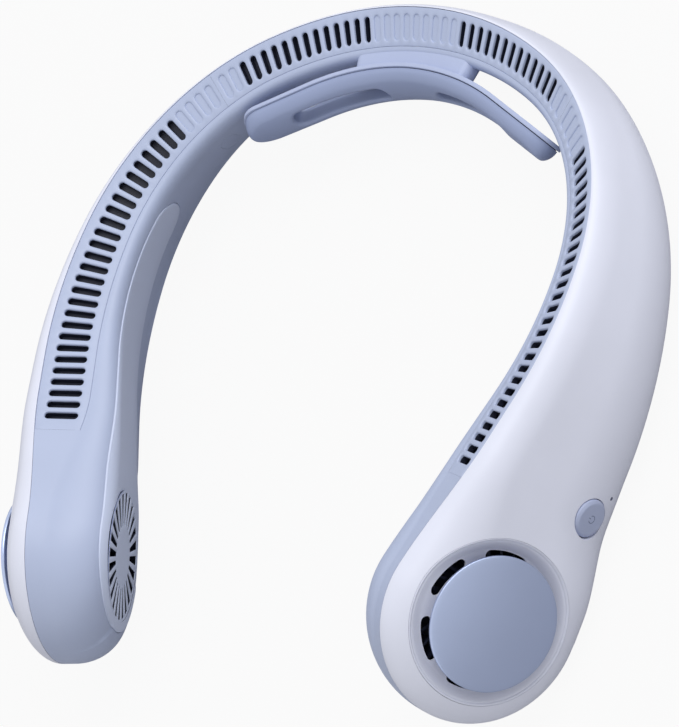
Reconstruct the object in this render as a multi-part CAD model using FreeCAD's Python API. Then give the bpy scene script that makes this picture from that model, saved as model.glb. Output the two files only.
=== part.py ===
import FreeCAD, Part
import math
import os

os.makedirs("parts", exist_ok=True)
V = FreeCAD.Vector

# All lengths are millimetres and all angles degrees.
# "Out" is away from the neck, "in" is towards it, and "down" runs along the leaning section.

# Plan of the band: arcs from the middle of the back to one arm, then a straight run to the pod
BACK_RADIUS = 104.2
BACK_TURN = 28.0
CORNER_RADIUS = 65.9
CORNER_TURN = 58.6
ARM_RADIUS = 106.2
ARM_TURN = 20.4
POD_RUN = 50.0

# Cross-section of the band
LEAN = 16.0
BACK_DEPTH = 21.5
FLARE = 13.6
FLARE_EASE = 4.0
BACK_OUT = 7.0
BACK_IN = 6.4
IN_TAPER = 13.0
RIM_BEVEL = 27.0
RIM_HALF_BACK = 5.6
RIM_HALF_FRONT = 7.6
TOP_ROUND = 8.6
LOW_ROUND = 25.0
IN_TOP_ROUND = 6.0
IN_LOW_ROUND = 17.0
FOOT_OUT = 0.1
FOOT_IN = -2.9
WALL = 1.8
SEAM = 0.15

# Fan pods at the front ends
POD_RADIUS = 28.0
POD_DROP = 24.6
POD_LIFT = 1.3
POD_OUT = 14.3
POD_IN = 11.9
POD_ROUND = 9.5
POD_LOW_ROUND = 10.5
POD_IN_TOP_ROUND = 10.0
POD_IN_LOW_ROUND = 8.4
POD_FOOT_OUT = 7.2
POD_FOOT_IN = 4.2
POD_RIM_HALF = 3.0
POD_RIM_OUT = 1.6
POD_BLEND_FROM = 1.35
POD_BLEND_TO = 0.5

# Vent strips set into the rim
STRIP_THICK = 1.5
STRIP_LEDGE = 1.5
STRIP_IN_MARGIN = 0.5
STRIP_OUT_MARGIN = 0.8
STRIP_GAP = 0.1
DUCT_MARGIN = 2.0
SLOT_PITCH = 3.47
SLOT_JOIN = 1.4
SLOT_WIDTH = 2.0
SLOT_BACK = 7.0
SLOT_FRONT = 9.3
SLOT_BLIND = 0.35
SLOT_COUNT = 51
SLOTS_BACK = 20
BLIND_MIDDLE = 5
BLIND_JOIN = (18, 23)
STRIP_RUNOUT = 4.5

# Inner covers with the radial grille
COVER_RADIUS = 20.5
COVER_START = 101.0
COVER_TOP = 5.5
COVER_LOW = 9.3
COVER_END_ROUND = 8.0
COVER_GAP = 0.15
GRILLE_COUNT = 24
GRILLE_OUTER = 17.2
GRILLE_INNER = 8.5
GRILLE_WIDE = 2.2
GRILLE_NARROW = 1.2

# Intake dishes and disc caps on the outside of the pods
DISH_RADIUS = 22.1
DISH_GAP = 0.1
DISH_LIP = 0.8
DISH_SINK = 2.2
DISH_FLOOR = 1.5
DISH_FLANGE = 1.2
ARC_COUNT = 6
ARC_SPAN = 31.0
ARC_TURN = 17.0
ARC_INNER = 15.8
ARC_OUTER = 18.0
CAP_RADIUS = 17.85
CAP_THICK = 1.9
CAP_STAND = 2.25
CAP_EDGE = 0.6
CAP_STEM = 6.0

# Blower motors
SHAFT_RADIUS = 1.0
SHAFT_CLEAR = 0.04
SLEEVE_RADIUS = 2.0
TUBE_RADIUS = 3.2
FIT_GAP = 0.02
HUB_CLEAR = 0.6
MOTOR_LOW = 2.2
STATOR_RADIUS = 8.4
STATOR_BACK = 1.2
STATOR_TEETH = 6
TOOTH_WIDE = 1.6
COIL_WIDE = 3.0
AIR_GAP = 0.5
MAGNET_THICK = 1.3
HUB_WALL = 1.0
HUB_FLOOR = 1.4
BLADE_COUNT = 28
BLADE_INNER = 14.8
BLADE_OUTER = 20.0
BLADE_THICK = 0.7
BLADE_SWEEP = 28.0
BLADE_STEP = 0.4
BLADE_LOW = -3.8
PLATE_LEVEL = 1.2
PLATE_THICK = 1.0

# Power button, indicator and control board, on the wearer's left arm
BUTTON_ALONG = 169.8
BUTTON_DOWN = 33.8
BUTTON_RADIUS = 5.2
BUTTON_GAP = 0.25
BUTTON_PROUD = 0.5
BUTTON_TRAVEL = 0.4
BUTTON_FLANGE = 0.7
BUTTON_FLANGE_THICK = 0.8
BUTTON_STEM = 1.5
BUTTON_BACKLASH = 0.4
BOARD_LENGTH = 28.0
BOARD_HEIGHT = 16.0
BOARD_THICK = 1.2
BOARD_SHIFT = 4.0
BOARD_RISE = 2.5
BOARD_UNDER = 5.4
SWITCH_SIDE = 6.0
SWITCH_BODY = 1.8
SWITCH_PLUNGER = 0.4
LIGHT_BACK = 7.5
LIGHT_UP = -4.25
LIGHT_RADIUS = 0.5
LIGHT_GAP = 0.05
POST_RADIUS = 1.9
POST_INSET = 3.0
SCREW_RADIUS = 0.8
SCREW_HEAD = 1.5
SCREW_HEAD_THICK = 0.9

# Charging socket under the same arm
PORT_WIDE = 9.0
PORT_TALL = 3.2
PORT_DEEP = 9.6
PORT_WALL = 0.35
PORT_GAP = 0.12
PORT_SUNK = 0.4
TONGUE_WIDE = 6.7
TONGUE_TALL = 0.7
TONGUE_DEEP = 7.0

# Battery cells in the back of the band
CELL_LENGTH = 34.0
CELL_HEIGHT = 11.0
CELL_ALONG = 38.0
CELL_GAP = 0.3

# Case screws under small rounded plugs on the inner face
PLUG_ALONG = 77.5
PLUG_DOWN = 14.5
PLUG_WIDE = 5.4
PLUG_LONG = 9.0
PLUG_GAP = 0.08
BOSS_RADIUS = 2.5
CASE_SCREW = 1.0
CASE_HEAD = 1.8
CASE_HEAD_THICK = 1.2
CASE_SCREW_LONG = 6.0

# Neck pad: a stiff frame and a soft cushion on a mount block
PAD_RADIUS = 80.0
PAD_TURN = 25.0
PAD_WING = 24.0
PAD_SEAT = 11.2
PAD_MIDDLE = 8.7
PAD_HALF = 7.2
PAD_TIP_HALF = 6.0
PAD_END_ROUND = 7.0
CUSHION_EDGE = 2.4
CUSHION_CROWN = 4.8
CUSHION_GAP = 0.1
FRAME_THICK = 2.0
FRAME_LIP = 0.4
PAD_SLOT_START = 10.0
PAD_SLOT_END = 43.0
PAD_SLOT_HALF = 2.2
MOUNT_HALF = 20.0
MOUNT_TOP = 0.6
MOUNT_LOW = 9.0
MOUNT_GAP = 0.1

# How finely the lofts follow their paths
ARM_STEPS = 28
TIP_STEPS = 8
TIP_REACH = 0.995
END_TURNS = (6, 20, 40, 65, 90)
PAD_TURNS = (0, 20, 40, 65, 90)
PAD_STEPS = 12
MOUNT_STEPS = 8
FACE_STEPS = 14
RING_STEPS = 24
HALVINGS = 40
CUT_PAST = 3.0
CUT_FAR = 30.0


def mix(start, end, share):
    return start + (end - start) * share


def ease(value, start, end):
    """A share that goes smoothly from 0 at start to 1 at end."""
    share = min(max((value - start) / (end - start), 0.0), 1.0)
    return share * share * (3 - 2 * share)


def tan(angle):
    return math.tan(math.radians(angle))


ARCS = [(BACK_RADIUS, math.radians(BACK_TURN)),
        (CORNER_RADIUS, math.radians(CORNER_TURN)),
        (ARM_RADIUS, math.radians(ARM_TURN))]
BACK_END = ARCS[0][0] * ARCS[0][1]
ARM_END = sum(radius * turn for radius, turn in ARCS)
POD_ALONG = ARM_END + POD_RUN
POD_BLEND_START = POD_ALONG - POD_BLEND_FROM * POD_RADIUS
POD_BLEND_END = POD_ALONG - POD_BLEND_TO * POD_RADIUS


def slot_along(number):
    """Distance of a slot from the middle of the back; the strips' join widens one gap."""
    return number * SLOT_PITCH + (SLOT_JOIN if number >= SLOTS_BACK else 0.0)


STRIP_JOIN = (slot_along(SLOTS_BACK - 1) + slot_along(SLOTS_BACK)) / 2
FIRST_SLOT = slot_along(SLOT_COUNT - 1)
STRIP_END = FIRST_SLOT + STRIP_RUNOUT


def rim(along):
    """Place and heading of the rim's middle line, for the half with positive X."""
    x, y, heading = 0.0, 0.0, 0.0
    left = along
    for radius, turn in ARCS:
        bend = min(left / radius, turn)
        x += radius * (math.sin(heading + bend) - math.sin(heading))
        y += radius * (math.cos(heading + bend) - math.cos(heading))
        heading += bend
        left -= radius * bend
    return x + left * math.cos(heading), y - left * math.sin(heading), heading


def depth_at(along):
    """How far the section reaches below the rim: the pod's circle and a line tangent to it."""
    touch = POD_ALONG - POD_RADIUS * math.sin(math.radians(FLARE))
    if along > touch:
        return POD_DROP + math.sqrt(POD_RADIUS ** 2 - (along - POD_ALONG) ** 2)
    line = POD_DROP + POD_RADIUS / math.cos(math.radians(FLARE)) - (POD_ALONG - along) * tan(FLARE)
    return (BACK_DEPTH + line + math.hypot(line - BACK_DEPTH, FLARE_EASE)) / 2


def rim_half(along):
    half = mix(RIM_HALF_BACK, RIM_HALF_FRONT, ease(along, BACK_END, FIRST_SLOT))
    return mix(half, POD_RIM_HALF, ease(along, POD_BLEND_START, POD_ALONG))


BEVEL = math.radians(RIM_BEVEL - LEAN)


def on_bevel(along, across, above):
    """Section coordinates of a point on the bevelled rim, which moves up and out at the pod."""
    share = ease(along, POD_BLEND_START, POD_ALONG)
    return (across * math.cos(BEVEL) - above * math.sin(BEVEL) + POD_RIM_OUT * share,
            across * math.sin(BEVEL) + above * math.cos(BEVEL) + POD_LIFT * share)


def fall(share, flat):
    """Quarter-ellipse fall of a face towards its edge, past the flat share."""
    if share <= flat:
        return 1.0
    return math.sqrt(max(0.0, 1 - ((share - flat) / (1 - flat)) ** 2))


STEPS = [math.cos(math.pi * step / FACE_STEPS) for step in range(FACE_STEPS + 1)]


def face_curve(top, low, level, top_round, low_round, taper, ahead):
    """Points down one face, from top edge to low edge; ahead is the share past the pod's centre."""
    middle = (top[1] + low[1]) / 2
    half = (top[1] - low[1]) / 2
    shrink = math.sqrt(max(0.0, 1 - ahead * ahead))
    points = []
    for step in STEPS:
        reach = math.hypot(ahead, shrink * step)
        edge = mix(low[0], top[0], (1 + step) / 2) if ahead > 0 else (top[0] if step > 0 else low[0])
        flat = 1 - min((top_round if step > 0 else low_round) / half, 1.0)
        face = level - taper * half * shrink * step
        points.append((edge + (face - edge) * fall(reach, flat), middle + half * shrink * step))
    return points


def outline(along, inset=0.0, top_inset=None):
    """Outer and inner faces of the section, set in by a wall."""
    place = min(abs(along), POD_ALONG)
    ahead = max(0.0, abs(along) - POD_ALONG) / (POD_RADIUS - inset)
    pod = ease(place, POD_BLEND_START, POD_BLEND_END)
    out = mix(BACK_OUT, POD_OUT, ease(place, BACK_END, POD_BLEND_END)) - inset
    inner = mix(BACK_IN, POD_IN, ease(place, BACK_END + CORNER_RADIUS, POD_ALONG)) - inset
    low = -depth_at(place) + inset
    rim_out = on_bevel(place, rim_half(place), 0)
    rim_in = on_bevel(place, -rim_half(place), 0)
    drop = inset if top_inset is None else top_inset
    outer_face = face_curve((rim_out[0], rim_out[1] - inset), (mix(FOOT_OUT, POD_FOOT_OUT, pod), low), out,
                            mix(TOP_ROUND, POD_ROUND, pod), mix(LOW_ROUND, POD_LOW_ROUND, pod), 0.0, ahead)
    inner_face = face_curve((rim_in[0], rim_in[1] - drop), (mix(FOOT_IN, POD_FOOT_IN, pod), low), -inner,
                            mix(IN_TOP_ROUND, POD_IN_TOP_ROUND, pod),
                            mix(IN_LOW_ROUND, POD_IN_LOW_ROUND, pod), tan(IN_TAPER), ahead)
    return outer_face, inner_face


def level_on(face, up):
    """How far out a face lies at a height of its section."""
    for first, second in zip(face, face[1:]):
        if second[1] <= up <= first[1]:
            return mix(first[0], second[0], (first[1] - up) / (first[1] - second[1]))
    return face[-1][0]


def face_level(along, down):
    return level_on(outline(along)[0], -down)


def worn_place(along, out, up):
    """Section coordinates to the worn frame, with the rim level; a negative along is the right arm."""
    x, y, heading = rim(abs(along))
    lean = math.radians(LEAN)
    across = out * math.cos(lean) - up * math.sin(lean)
    side = -1.0 if along < 0 else 1.0
    return (side * (x + across * math.sin(heading)), y + across * math.cos(heading),
            out * math.sin(lean) + up * math.cos(lean))


def stations(reach, start=None):
    """Distances along the band, close together round the pod's tip."""
    half = [POD_ALONG * step / ARM_STEPS for step in range(ARM_STEPS + 1)]
    last = math.asin(TIP_REACH)
    half += [POD_ALONG + reach * math.sin(last * step / TIP_STEPS) for step in range(1, TIP_STEPS + 1)]
    if start is not None:
        return half
    return [-along for along in reversed(half[1:])] + half


def find_tilt():
    """Turning the pods up about X until they stand level with the back."""
    back = [worn_place(0, *point) for face in outline(0) for point in face]
    pods = [worn_place(along, *point) for along in stations(POD_RADIUS, 0) if along > ARM_END
            for face in outline(along) for point in face]

    def step_down(angle):
        sine, cosine = math.sin(angle), math.cos(angle)
        return (min(z * cosine - y * sine for _, y, z in pods)
                - min(z * cosine - y * sine for _, y, z in back))
    low, high = 0.0, math.radians(30)
    for _ in range(HALVINGS):
        middle = (low + high) / 2
        if step_down(middle) < 0:
            low = middle
        else:
            high = middle
    return low


TILT = find_tilt()


def turned(x, y, z):
    return V(x, y * math.cos(TILT) + z * math.sin(TILT), z * math.cos(TILT) - y * math.sin(TILT))


RING = [turned(*worn_place(along, *point)) for along in stations(POD_RADIUS, 0)
        for face in outline(along) for point in face]
SHIFT = V(0, -(max(p.y for p in RING) + min(p.y for p in RING)) / 2, -min(p.z for p in RING))


def settle(x, y, z):
    """From the worn frame to the frame of the part standing on a table."""
    return turned(x, y, z) + SHIFT


def point(along, out, up):
    return settle(*worn_place(along, out, up))


def line(first, second):
    return Part.LineSegment(first, second).toShape()


def curve(points):
    spline = Part.BSplineCurve()
    spline.interpolate(points)
    return spline.toShape()


def loop(points):
    return Part.Wire([line(points[i - 1], points[i]) for i in range(len(points))])


def loft(wires):
    return Part.makeLoft(wires, True, False)


def one(shape):
    """The largest solid of a result, as a plain solid."""
    return max(shape.Solids, key=lambda solid: solid.Volume)


def outer_wire(along):
    points = [point(along, *spot) for spot in outline(along)[0]]
    return Part.Wire([curve(points), line(points[-1], points[0])])


def outer_hollow_wire(along):
    face = outline(along, WALL)[0]
    points = [point(along, *spot) for spot in face]
    top = point(along, face[0][0] - CUT_PAST, face[0][1])
    low = point(along, face[-1][0] - CUT_PAST, face[-1][1])
    return Part.Wire([line(top, points[0]), curve(points), line(points[-1], low), line(low, top)])


def inner_wire(along):
    outer, inner = outline(along)
    points = [point(along, *spot) for spot in inner]
    top = point(along, outer[0][0] - SEAM, outer[0][1])
    low = point(along, outer[-1][0] - SEAM, outer[-1][1])
    return Part.Wire([line(top, points[0]), curve(points), line(points[-1], low), line(low, top)])


def inner_hollow_wire(along):
    outer, inner = outline(along, WALL, STRIP_THICK + STRIP_LEDGE)
    points = [point(along, *spot) for spot in inner]
    rise = CUT_PAST * math.tan(BEVEL)
    top = point(along, outer[0][0] + CUT_PAST, outer[0][1] + WALL - STRIP_THICK - STRIP_LEDGE + rise)
    low = point(along, outer[-1][0] + CUT_PAST, outer[-1][1])
    return Part.Wire([line(top, points[0]), curve(points), line(points[-1], low), line(low, top)])


def half_loft(wire_at, reach, lead=()):
    """A loft along the left half of the band; a lead starts it past the middle of the back."""
    return loft([wire_at(along) for along in list(lead) + stations(reach, 0)])


def mirrored(shape):
    return shape.mirror(V(0, 0, 0), V(1, 0, 0))


def whole(half):
    """Both halves of the band, joined at the middle of the back."""
    return one(half.fuse(mirrored(half)))


def pair(name, shape):
    """The left piece and its mirrored twin."""
    yield "left_" + name, shape
    yield "right_" + name, mirrored(shape)


SIDES = (1, -1)
LEAD = (-2 * CUT_PAST,)


def section_frame(along, out, up):
    """Place and directions at a spot of a section: back along the arm, out and up."""
    base = point(along, out, up)
    outward = point(along, out + 1, up) - base
    upward = point(along, out, up + 1) - base
    backward = upward.cross(outward)
    return base, backward, outward, upward


def set_at(shape, base, x_way, z_way):
    """Moves a shape, wherever it is drawn, so that its X and Z axes lie along two directions."""
    rotation = FreeCAD.Rotation(x_way, z_way.cross(x_way), z_way, "ZXY")
    shape.Placement = FreeCAD.Placement(base, rotation) * shape.Placement
    return shape


def pod_frame():
    return section_frame(POD_ALONG, 0, -POD_DROP)


def on_pod(shape):
    """A shape made about Z, set on the left pod's axis, with Z outwards."""
    base, backward, outward, _ = pod_frame()
    return set_at(shape, base, backward, outward)


def turned_profile(points):
    """A solid turned about Z from a profile of radius and height."""
    face = Part.Face(loop([V(radius, 0, height) for radius, height in points]))
    return face.revolve(V(0, 0, 0), V(0, 0, 1), 360)


def ring(inner, outer, low, high):
    return turned_profile([(inner, low), (outer, low), (outer, high), (inner, high)])


def rod(radius, low, high):
    return Part.makeCylinder(radius, high - low, V(0, 0, low))


def around(shape, count):
    """Copies of a shape turned about Z."""
    copies = []
    for number in range(count):
        copy = shape.copy()
        copy.rotate(V(0, 0, 0), V(0, 0, 1), 360 * number / count)
        copies.append(copy)
    return copies


def stadium(length, width, low, high):
    """A prism with round ends, long in Y."""
    half = length / 2 - width / 2
    side = width / 2
    edges = [line(V(side, -half, low), V(side, half, low)),
             Part.Arc(V(side, half, low), V(0, half + side, low), V(-side, half, low)).toShape(),
             line(V(-side, half, low), V(-side, -half, low)),
             Part.Arc(V(-side, -half, low), V(0, -half - side, low), V(side, -half, low)).toShape()]
    return Part.Face(Part.Wire(edges)).extrude(V(0, 0, high - low))


def bar(size_x, size_y, low, high):
    return Part.makeBox(size_x, size_y, high - low, V(-size_x / 2, -size_y / 2, low))


# Rim strips and their seat

def bevel_box(along, inner, outer, low, high):
    corners = [(inner, low), (outer, low), (outer, high), (inner, high)]
    return loop([point(along, *on_bevel(abs(along), across, above)) for across, above in corners])


def rim_run(start, end):
    """Distances along the rim between two limits, with both limits."""
    inside = [along for along in stations(POD_RADIUS) if start + 1 < along < end - 1]
    return [start] + inside + [end]


def strip_seat():
    """The recess for the strips and the duct mouth under them."""
    seat = loft([bevel_box(along, -rim_half(abs(along)) + STRIP_IN_MARGIN - STRIP_GAP,
                           rim_half(abs(along)) + CUT_PAST, -STRIP_THICK, CUT_PAST)
                 for along in rim_run(LEAD[0], STRIP_END)])
    mouth = loft([bevel_box(along, -rim_half(abs(along)) + DUCT_MARGIN, rim_half(abs(along)) - DUCT_MARGIN,
                            -2 * CUT_PAST, CUT_PAST)
                  for along in rim_run(LEAD[0], STRIP_END - DUCT_MARGIN)])
    return seat, mouth


def is_blind(number):
    return number < BLIND_MIDDLE or BLIND_JOIN[0] <= number <= BLIND_JOIN[1]


def slot_tool(number, side):
    along = slot_along(number)
    length = mix(SLOT_BACK, SLOT_FRONT, ease(along, STRIP_JOIN, FIRST_SLOT))
    depth = SLOT_BLIND if is_blind(number) else STRIP_THICK + CUT_PAST
    base = point(side * along, *on_bevel(along, 0, 0))
    across = point(side * along, *on_bevel(along, 1, 0)) - base
    above = point(side * along, *on_bevel(along, 0, 1)) - base
    tool = stadium(length, SLOT_WIDTH, -depth, CUT_PAST)
    return set_at(tool, base, across.cross(above), above)


def vent_strip(start, end, slots):
    plate = loft([bevel_box(along, -rim_half(abs(along)) + STRIP_IN_MARGIN,
                            rim_half(abs(along)) - STRIP_OUT_MARGIN, -STRIP_THICK + STRIP_GAP / 2, 0)
                  for along in rim_run(start, end)])
    return one(plate.cut([slot_tool(number, side) for number, side in slots]))


def vent_strips():
    back = [(0, 1)] + [(number, side) for number in range(1, SLOTS_BACK) for side in SIDES]
    yield "back_vent_strip", vent_strip(-STRIP_JOIN + STRIP_GAP, STRIP_JOIN - STRIP_GAP, back)
    slots = [(number, 1) for number in range(SLOTS_BACK, SLOT_COUNT)]
    yield from pair("vent_strip", vent_strip(STRIP_JOIN + STRIP_GAP, STRIP_END - STRIP_GAP, slots))


# Inner covers

def cover_region(grow):
    """The block that a cover takes out of the inner wall: an arm panel that ends round the pod."""
    start = COVER_START - grow
    radius = COVER_RADIUS + grow
    last = POD_ALONG + radius * TIP_REACH
    run = [start + COVER_END_ROUND * (1 - math.cos(math.radians(angle))) for angle in END_TURNS]
    run += [along for along in stations(radius, 0) if run[-1] + 1 < along < POD_ALONG - 1]
    swing = math.asin(TIP_REACH)
    run += [POD_ALONG + radius * math.sin(swing * step / TIP_STEPS) for step in range(TIP_STEPS)] + [last]
    wires = []
    for along in run:
        top = -mix(COVER_TOP, POD_DROP - COVER_RADIUS, ease(along, COVER_START, POD_ALONG)) + grow
        low = min(-depth_at(min(along, POD_ALONG)) + COVER_LOW, top - COVER_END_ROUND) - grow
        if along > POD_ALONG:
            half = math.sqrt(radius ** 2 - (along - POD_ALONG) ** 2)
            top, low = -POD_DROP + half, -POD_DROP - half
        behind = (start + COVER_END_ROUND - along) / COVER_END_ROUND
        if behind > 0:
            middle, half = (top + low) / 2, (top - low) / 2 * math.sqrt(1 - behind ** 2)
            top, low = middle + half, middle - half
        spots = [(-CUT_FAR, low), (0, low), (0, top), (-CUT_FAR, top)]
        wires.append(loop([point(along, *spot) for spot in spots]))
    return loft(wires)


def grille_tools():
    wide, narrow = GRILLE_WIDE / 2, GRILLE_NARROW / 2
    blade = loop([V(GRILLE_INNER, -narrow, 0), V(GRILLE_OUTER, -wide, 0),
                  V(GRILLE_OUTER, wide, 0), V(GRILLE_INNER, narrow, 0)])
    tool = Part.Face(blade).extrude(V(0, 0, CUT_FAR))
    tool.translate(V(0, 0, -CUT_FAR - CUT_PAST))
    return on_pod(Part.Compound(around(tool, GRILLE_COUNT)))


# Pods: dish, cap and motor

def round_turns(count):
    return [2 * math.pi * step / count for step in range(count)]


def ring_level(radius, inset=0.0):
    """The least level of the outer face round a circle on the pod."""
    return min(level_on(outline(POD_ALONG + radius * math.sin(turn), inset)[0],
                        -POD_DROP + radius * math.cos(turn)) for turn in round_turns(RING_STEPS))


DISH_FACE = ring_level(DISH_RADIUS)
FLOOR_TOP = DISH_FACE - DISH_SINK
FLOOR_LOW = FLOOR_TOP - DISH_FLOOR
WALL_IN = ring_level(DISH_RADIUS + DISH_FLANGE, WALL) - 2 * DISH_GAP
CAP_FACE = POD_OUT + CAP_STAND
CAP_BACK = CAP_FACE - CAP_THICK
MOTOR_TOP = FLOOR_LOW - HUB_CLEAR
BLADE_TOP = MOTOR_TOP - BLADE_STEP
MAGNET_IN = STATOR_RADIUS + AIR_GAP
MAGNET_OUT = MAGNET_IN + MAGNET_THICK
HUB_IN = MAGNET_OUT + FIT_GAP
HUB_OUT = HUB_IN + HUB_WALL
HUB_BASE = MOTOR_LOW - AIR_GAP - HUB_FLOOR
TUBE_LOW = MOTOR_LOW - FIT_GAP
SLEEVE_HOLE = SHAFT_RADIUS + SHAFT_CLEAR


def intake_dish():
    bowl = turned_profile([(SLEEVE_RADIUS + FIT_GAP, TUBE_LOW), (TUBE_RADIUS, TUBE_LOW),
                           (TUBE_RADIUS, FLOOR_LOW), (DISH_RADIUS + DISH_FLANGE, FLOOR_LOW),
                           (DISH_RADIUS + DISH_FLANGE, WALL_IN), (DISH_RADIUS, WALL_IN),
                           (DISH_RADIUS, DISH_FACE), (DISH_RADIUS - DISH_LIP, DISH_FACE),
                           (ARC_OUTER, FLOOR_TOP), (SLEEVE_RADIUS + FIT_GAP, FLOOR_TOP)])
    half = math.radians(ARC_SPAN / 2)

    def rim_spot(radius, angle):
        return V(radius * math.cos(angle), radius * math.sin(angle), FLOOR_LOW - CUT_PAST)

    def bend(radius, start, end):
        return Part.Arc(rim_spot(radius, start), rim_spot(radius, 0), rim_spot(radius, end)).toShape()
    edges = [line(rim_spot(ARC_INNER, -half), rim_spot(ARC_OUTER, -half)), bend(ARC_OUTER, -half, half),
             line(rim_spot(ARC_OUTER, half), rim_spot(ARC_INNER, half)), bend(ARC_INNER, half, -half)]
    tool = Part.Face(Part.Wire(edges)).extrude(V(0, 0, DISH_FLOOR + DISH_SINK + 2 * CUT_PAST))
    tool.rotate(V(0, 0, 0), V(0, 0, 1), ARC_TURN)
    return on_pod(one(bowl.cut(around(tool, ARC_COUNT))))


def disc_cap():
    cap = turned_profile([(0, FLOOR_TOP), (CAP_STEM, FLOOR_TOP), (CAP_STEM, CAP_BACK),
                          (CAP_RADIUS - CAP_EDGE, CAP_BACK), (CAP_RADIUS, CAP_BACK + CAP_EDGE),
                          (CAP_RADIUS, CAP_FACE - CAP_EDGE), (CAP_RADIUS - CAP_EDGE, CAP_FACE),
                          (0, CAP_FACE)])
    return on_pod(cap)


def motor_bearing():
    return on_pod(ring(SLEEVE_HOLE, SLEEVE_RADIUS, TUBE_LOW, FLOOR_TOP - DISH_FLOOR / 2))


def rotor_shaft():
    return on_pod(rod(SHAFT_RADIUS, HUB_BASE, FLOOR_LOW))


def stator_core():
    core = ring(TUBE_RADIUS + FIT_GAP, TUBE_RADIUS + STATOR_BACK, MOTOR_LOW, MOTOR_TOP)
    length = STATOR_RADIUS - TUBE_RADIUS - STATOR_BACK / 2
    tooth = Part.makeBox(length, TOOTH_WIDE, MOTOR_TOP - MOTOR_LOW,
                         V(TUBE_RADIUS + STATOR_BACK / 2, -TOOTH_WIDE / 2, MOTOR_LOW))
    shoe = ring(STATOR_RADIUS - STATOR_BACK / 2, STATOR_RADIUS, MOTOR_LOW, MOTOR_TOP)
    sector = Part.makeBox(STATOR_RADIUS, 2 * COIL_WIDE, MOTOR_TOP - MOTOR_LOW,
                          V(0, -COIL_WIDE, MOTOR_LOW))
    teeth = around(tooth, STATOR_TEETH) + around(shoe.common(sector), STATOR_TEETH)
    return on_pod(one(core.fuse(teeth).removeSplitter()))


def motor_coils():
    start = TUBE_RADIUS + STATOR_BACK + FIT_GAP
    end = STATOR_RADIUS - STATOR_BACK / 2 - 2 * FIT_GAP - AIR_GAP
    low, high = MOTOR_LOW + FIT_GAP, MOTOR_TOP - FIT_GAP
    gap = TOOTH_WIDE / 2 + FIT_GAP
    coil = Part.makeBox(end - start, COIL_WIDE / 2 - gap + TOOTH_WIDE / 4, high - low, V(start, gap, low))
    other = coil.mirror(V(0, 0, 0), V(0, 1, 0))
    return on_pod(Part.Compound(around(coil, STATOR_TEETH) + around(other, STATOR_TEETH)))


def rotor_magnet():
    return on_pod(ring(MAGNET_IN, MAGNET_OUT, MOTOR_LOW, MOTOR_TOP))


def impeller():
    cup = turned_profile([(SHAFT_RADIUS + FIT_GAP, HUB_BASE), (HUB_OUT, HUB_BASE), (HUB_OUT, MOTOR_TOP),
                          (HUB_IN, MOTOR_TOP), (HUB_IN, HUB_BASE + HUB_FLOOR),
                          (SHAFT_RADIUS + FIT_GAP, HUB_BASE + HUB_FLOOR)])
    plate = ring(HUB_OUT - HUB_WALL / 2, BLADE_OUTER - BLADE_THICK,
                 PLATE_LEVEL, PLATE_LEVEL + PLATE_THICK)
    blade = Part.makeBox((BLADE_OUTER - BLADE_INNER) / math.cos(math.radians(BLADE_SWEEP)), BLADE_THICK,
                         BLADE_TOP - BLADE_LOW, V(0, -BLADE_THICK / 2, BLADE_LOW))
    blade.rotate(V(0, 0, 0), V(0, 0, 1), BLADE_SWEEP)
    blade.translate(V(BLADE_INNER, 0, 0))
    return on_pod(one(cup.fuse([plate] + around(blade, BLADE_COUNT)).removeSplitter()))


# Control parts of the left arm

BUTTON_LEVEL = face_level(BUTTON_ALONG, BUTTON_DOWN)
BUTTON_SLOPE = (face_level(BUTTON_ALONG, BUTTON_DOWN - BUTTON_RADIUS)
                - face_level(BUTTON_ALONG, BUTTON_DOWN + BUTTON_RADIUS)) / (2 * BUTTON_RADIUS)
BUTTON_LEAN = math.atan(BUTTON_SLOPE)


def button_frame():
    """The button's place on the outer face, the way back along the arm and the way out of the face."""
    base, backward, outward, upward = section_frame(BUTTON_ALONG, BUTTON_LEVEL, -BUTTON_DOWN)
    return base, backward, outward * math.cos(BUTTON_LEAN) - upward * math.sin(BUTTON_LEAN)


def at_button(shape):
    """A shape drawn with X back along the arm and Z out of the face, set at the button."""
    base, backward, normal = button_frame()
    return set_at(shape, base, backward, normal)


def skin_height(x, y, inset=0.0):
    """Height of the outer face, or of its wall's inside, over a spot of the button's plane."""
    face = outline(BUTTON_ALONG - x, inset)[0]
    low, high = -CUT_FAR / 2, CUT_PAST
    for _ in range(HALVINGS):
        middle = (low + high) / 2
        out = BUTTON_LEVEL + y * math.sin(BUTTON_LEAN) + middle * math.cos(BUTTON_LEAN)
        up = -BUTTON_DOWN + y * math.cos(BUTTON_LEAN) - middle * math.sin(BUTTON_LEAN)
        if out < level_on(face, up):
            low = middle
        else:
            high = middle
    return low


def ring_height(radius, inset=0.0):
    """The least such height round a circle about the button's axis."""
    return min(skin_height(radius * math.cos(turn), radius * math.sin(turn), inset)
               for turn in round_turns(RING_STEPS))


BUTTON_EDGE = ring_height(BUTTON_RADIUS + BUTTON_GAP)
FLANGE_TOP = ring_height(BUTTON_RADIUS + BUTTON_FLANGE, WALL) - BUTTON_BACKLASH
FLANGE_LOW = FLANGE_TOP - BUTTON_FLANGE_THICK
BOARD_TOP = FLANGE_LOW - BOARD_UNDER + BOARD_THICK
BOARD_LOW = BOARD_TOP - BOARD_THICK
PLUNGER_TOP = BOARD_TOP + SWITCH_BODY + SWITCH_PLUNGER
STEM_LOW = PLUNGER_TOP + BUTTON_TRAVEL + 2 * FIT_GAP
LIGHT_FACE = skin_height(LIGHT_BACK, LIGHT_UP)


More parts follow.
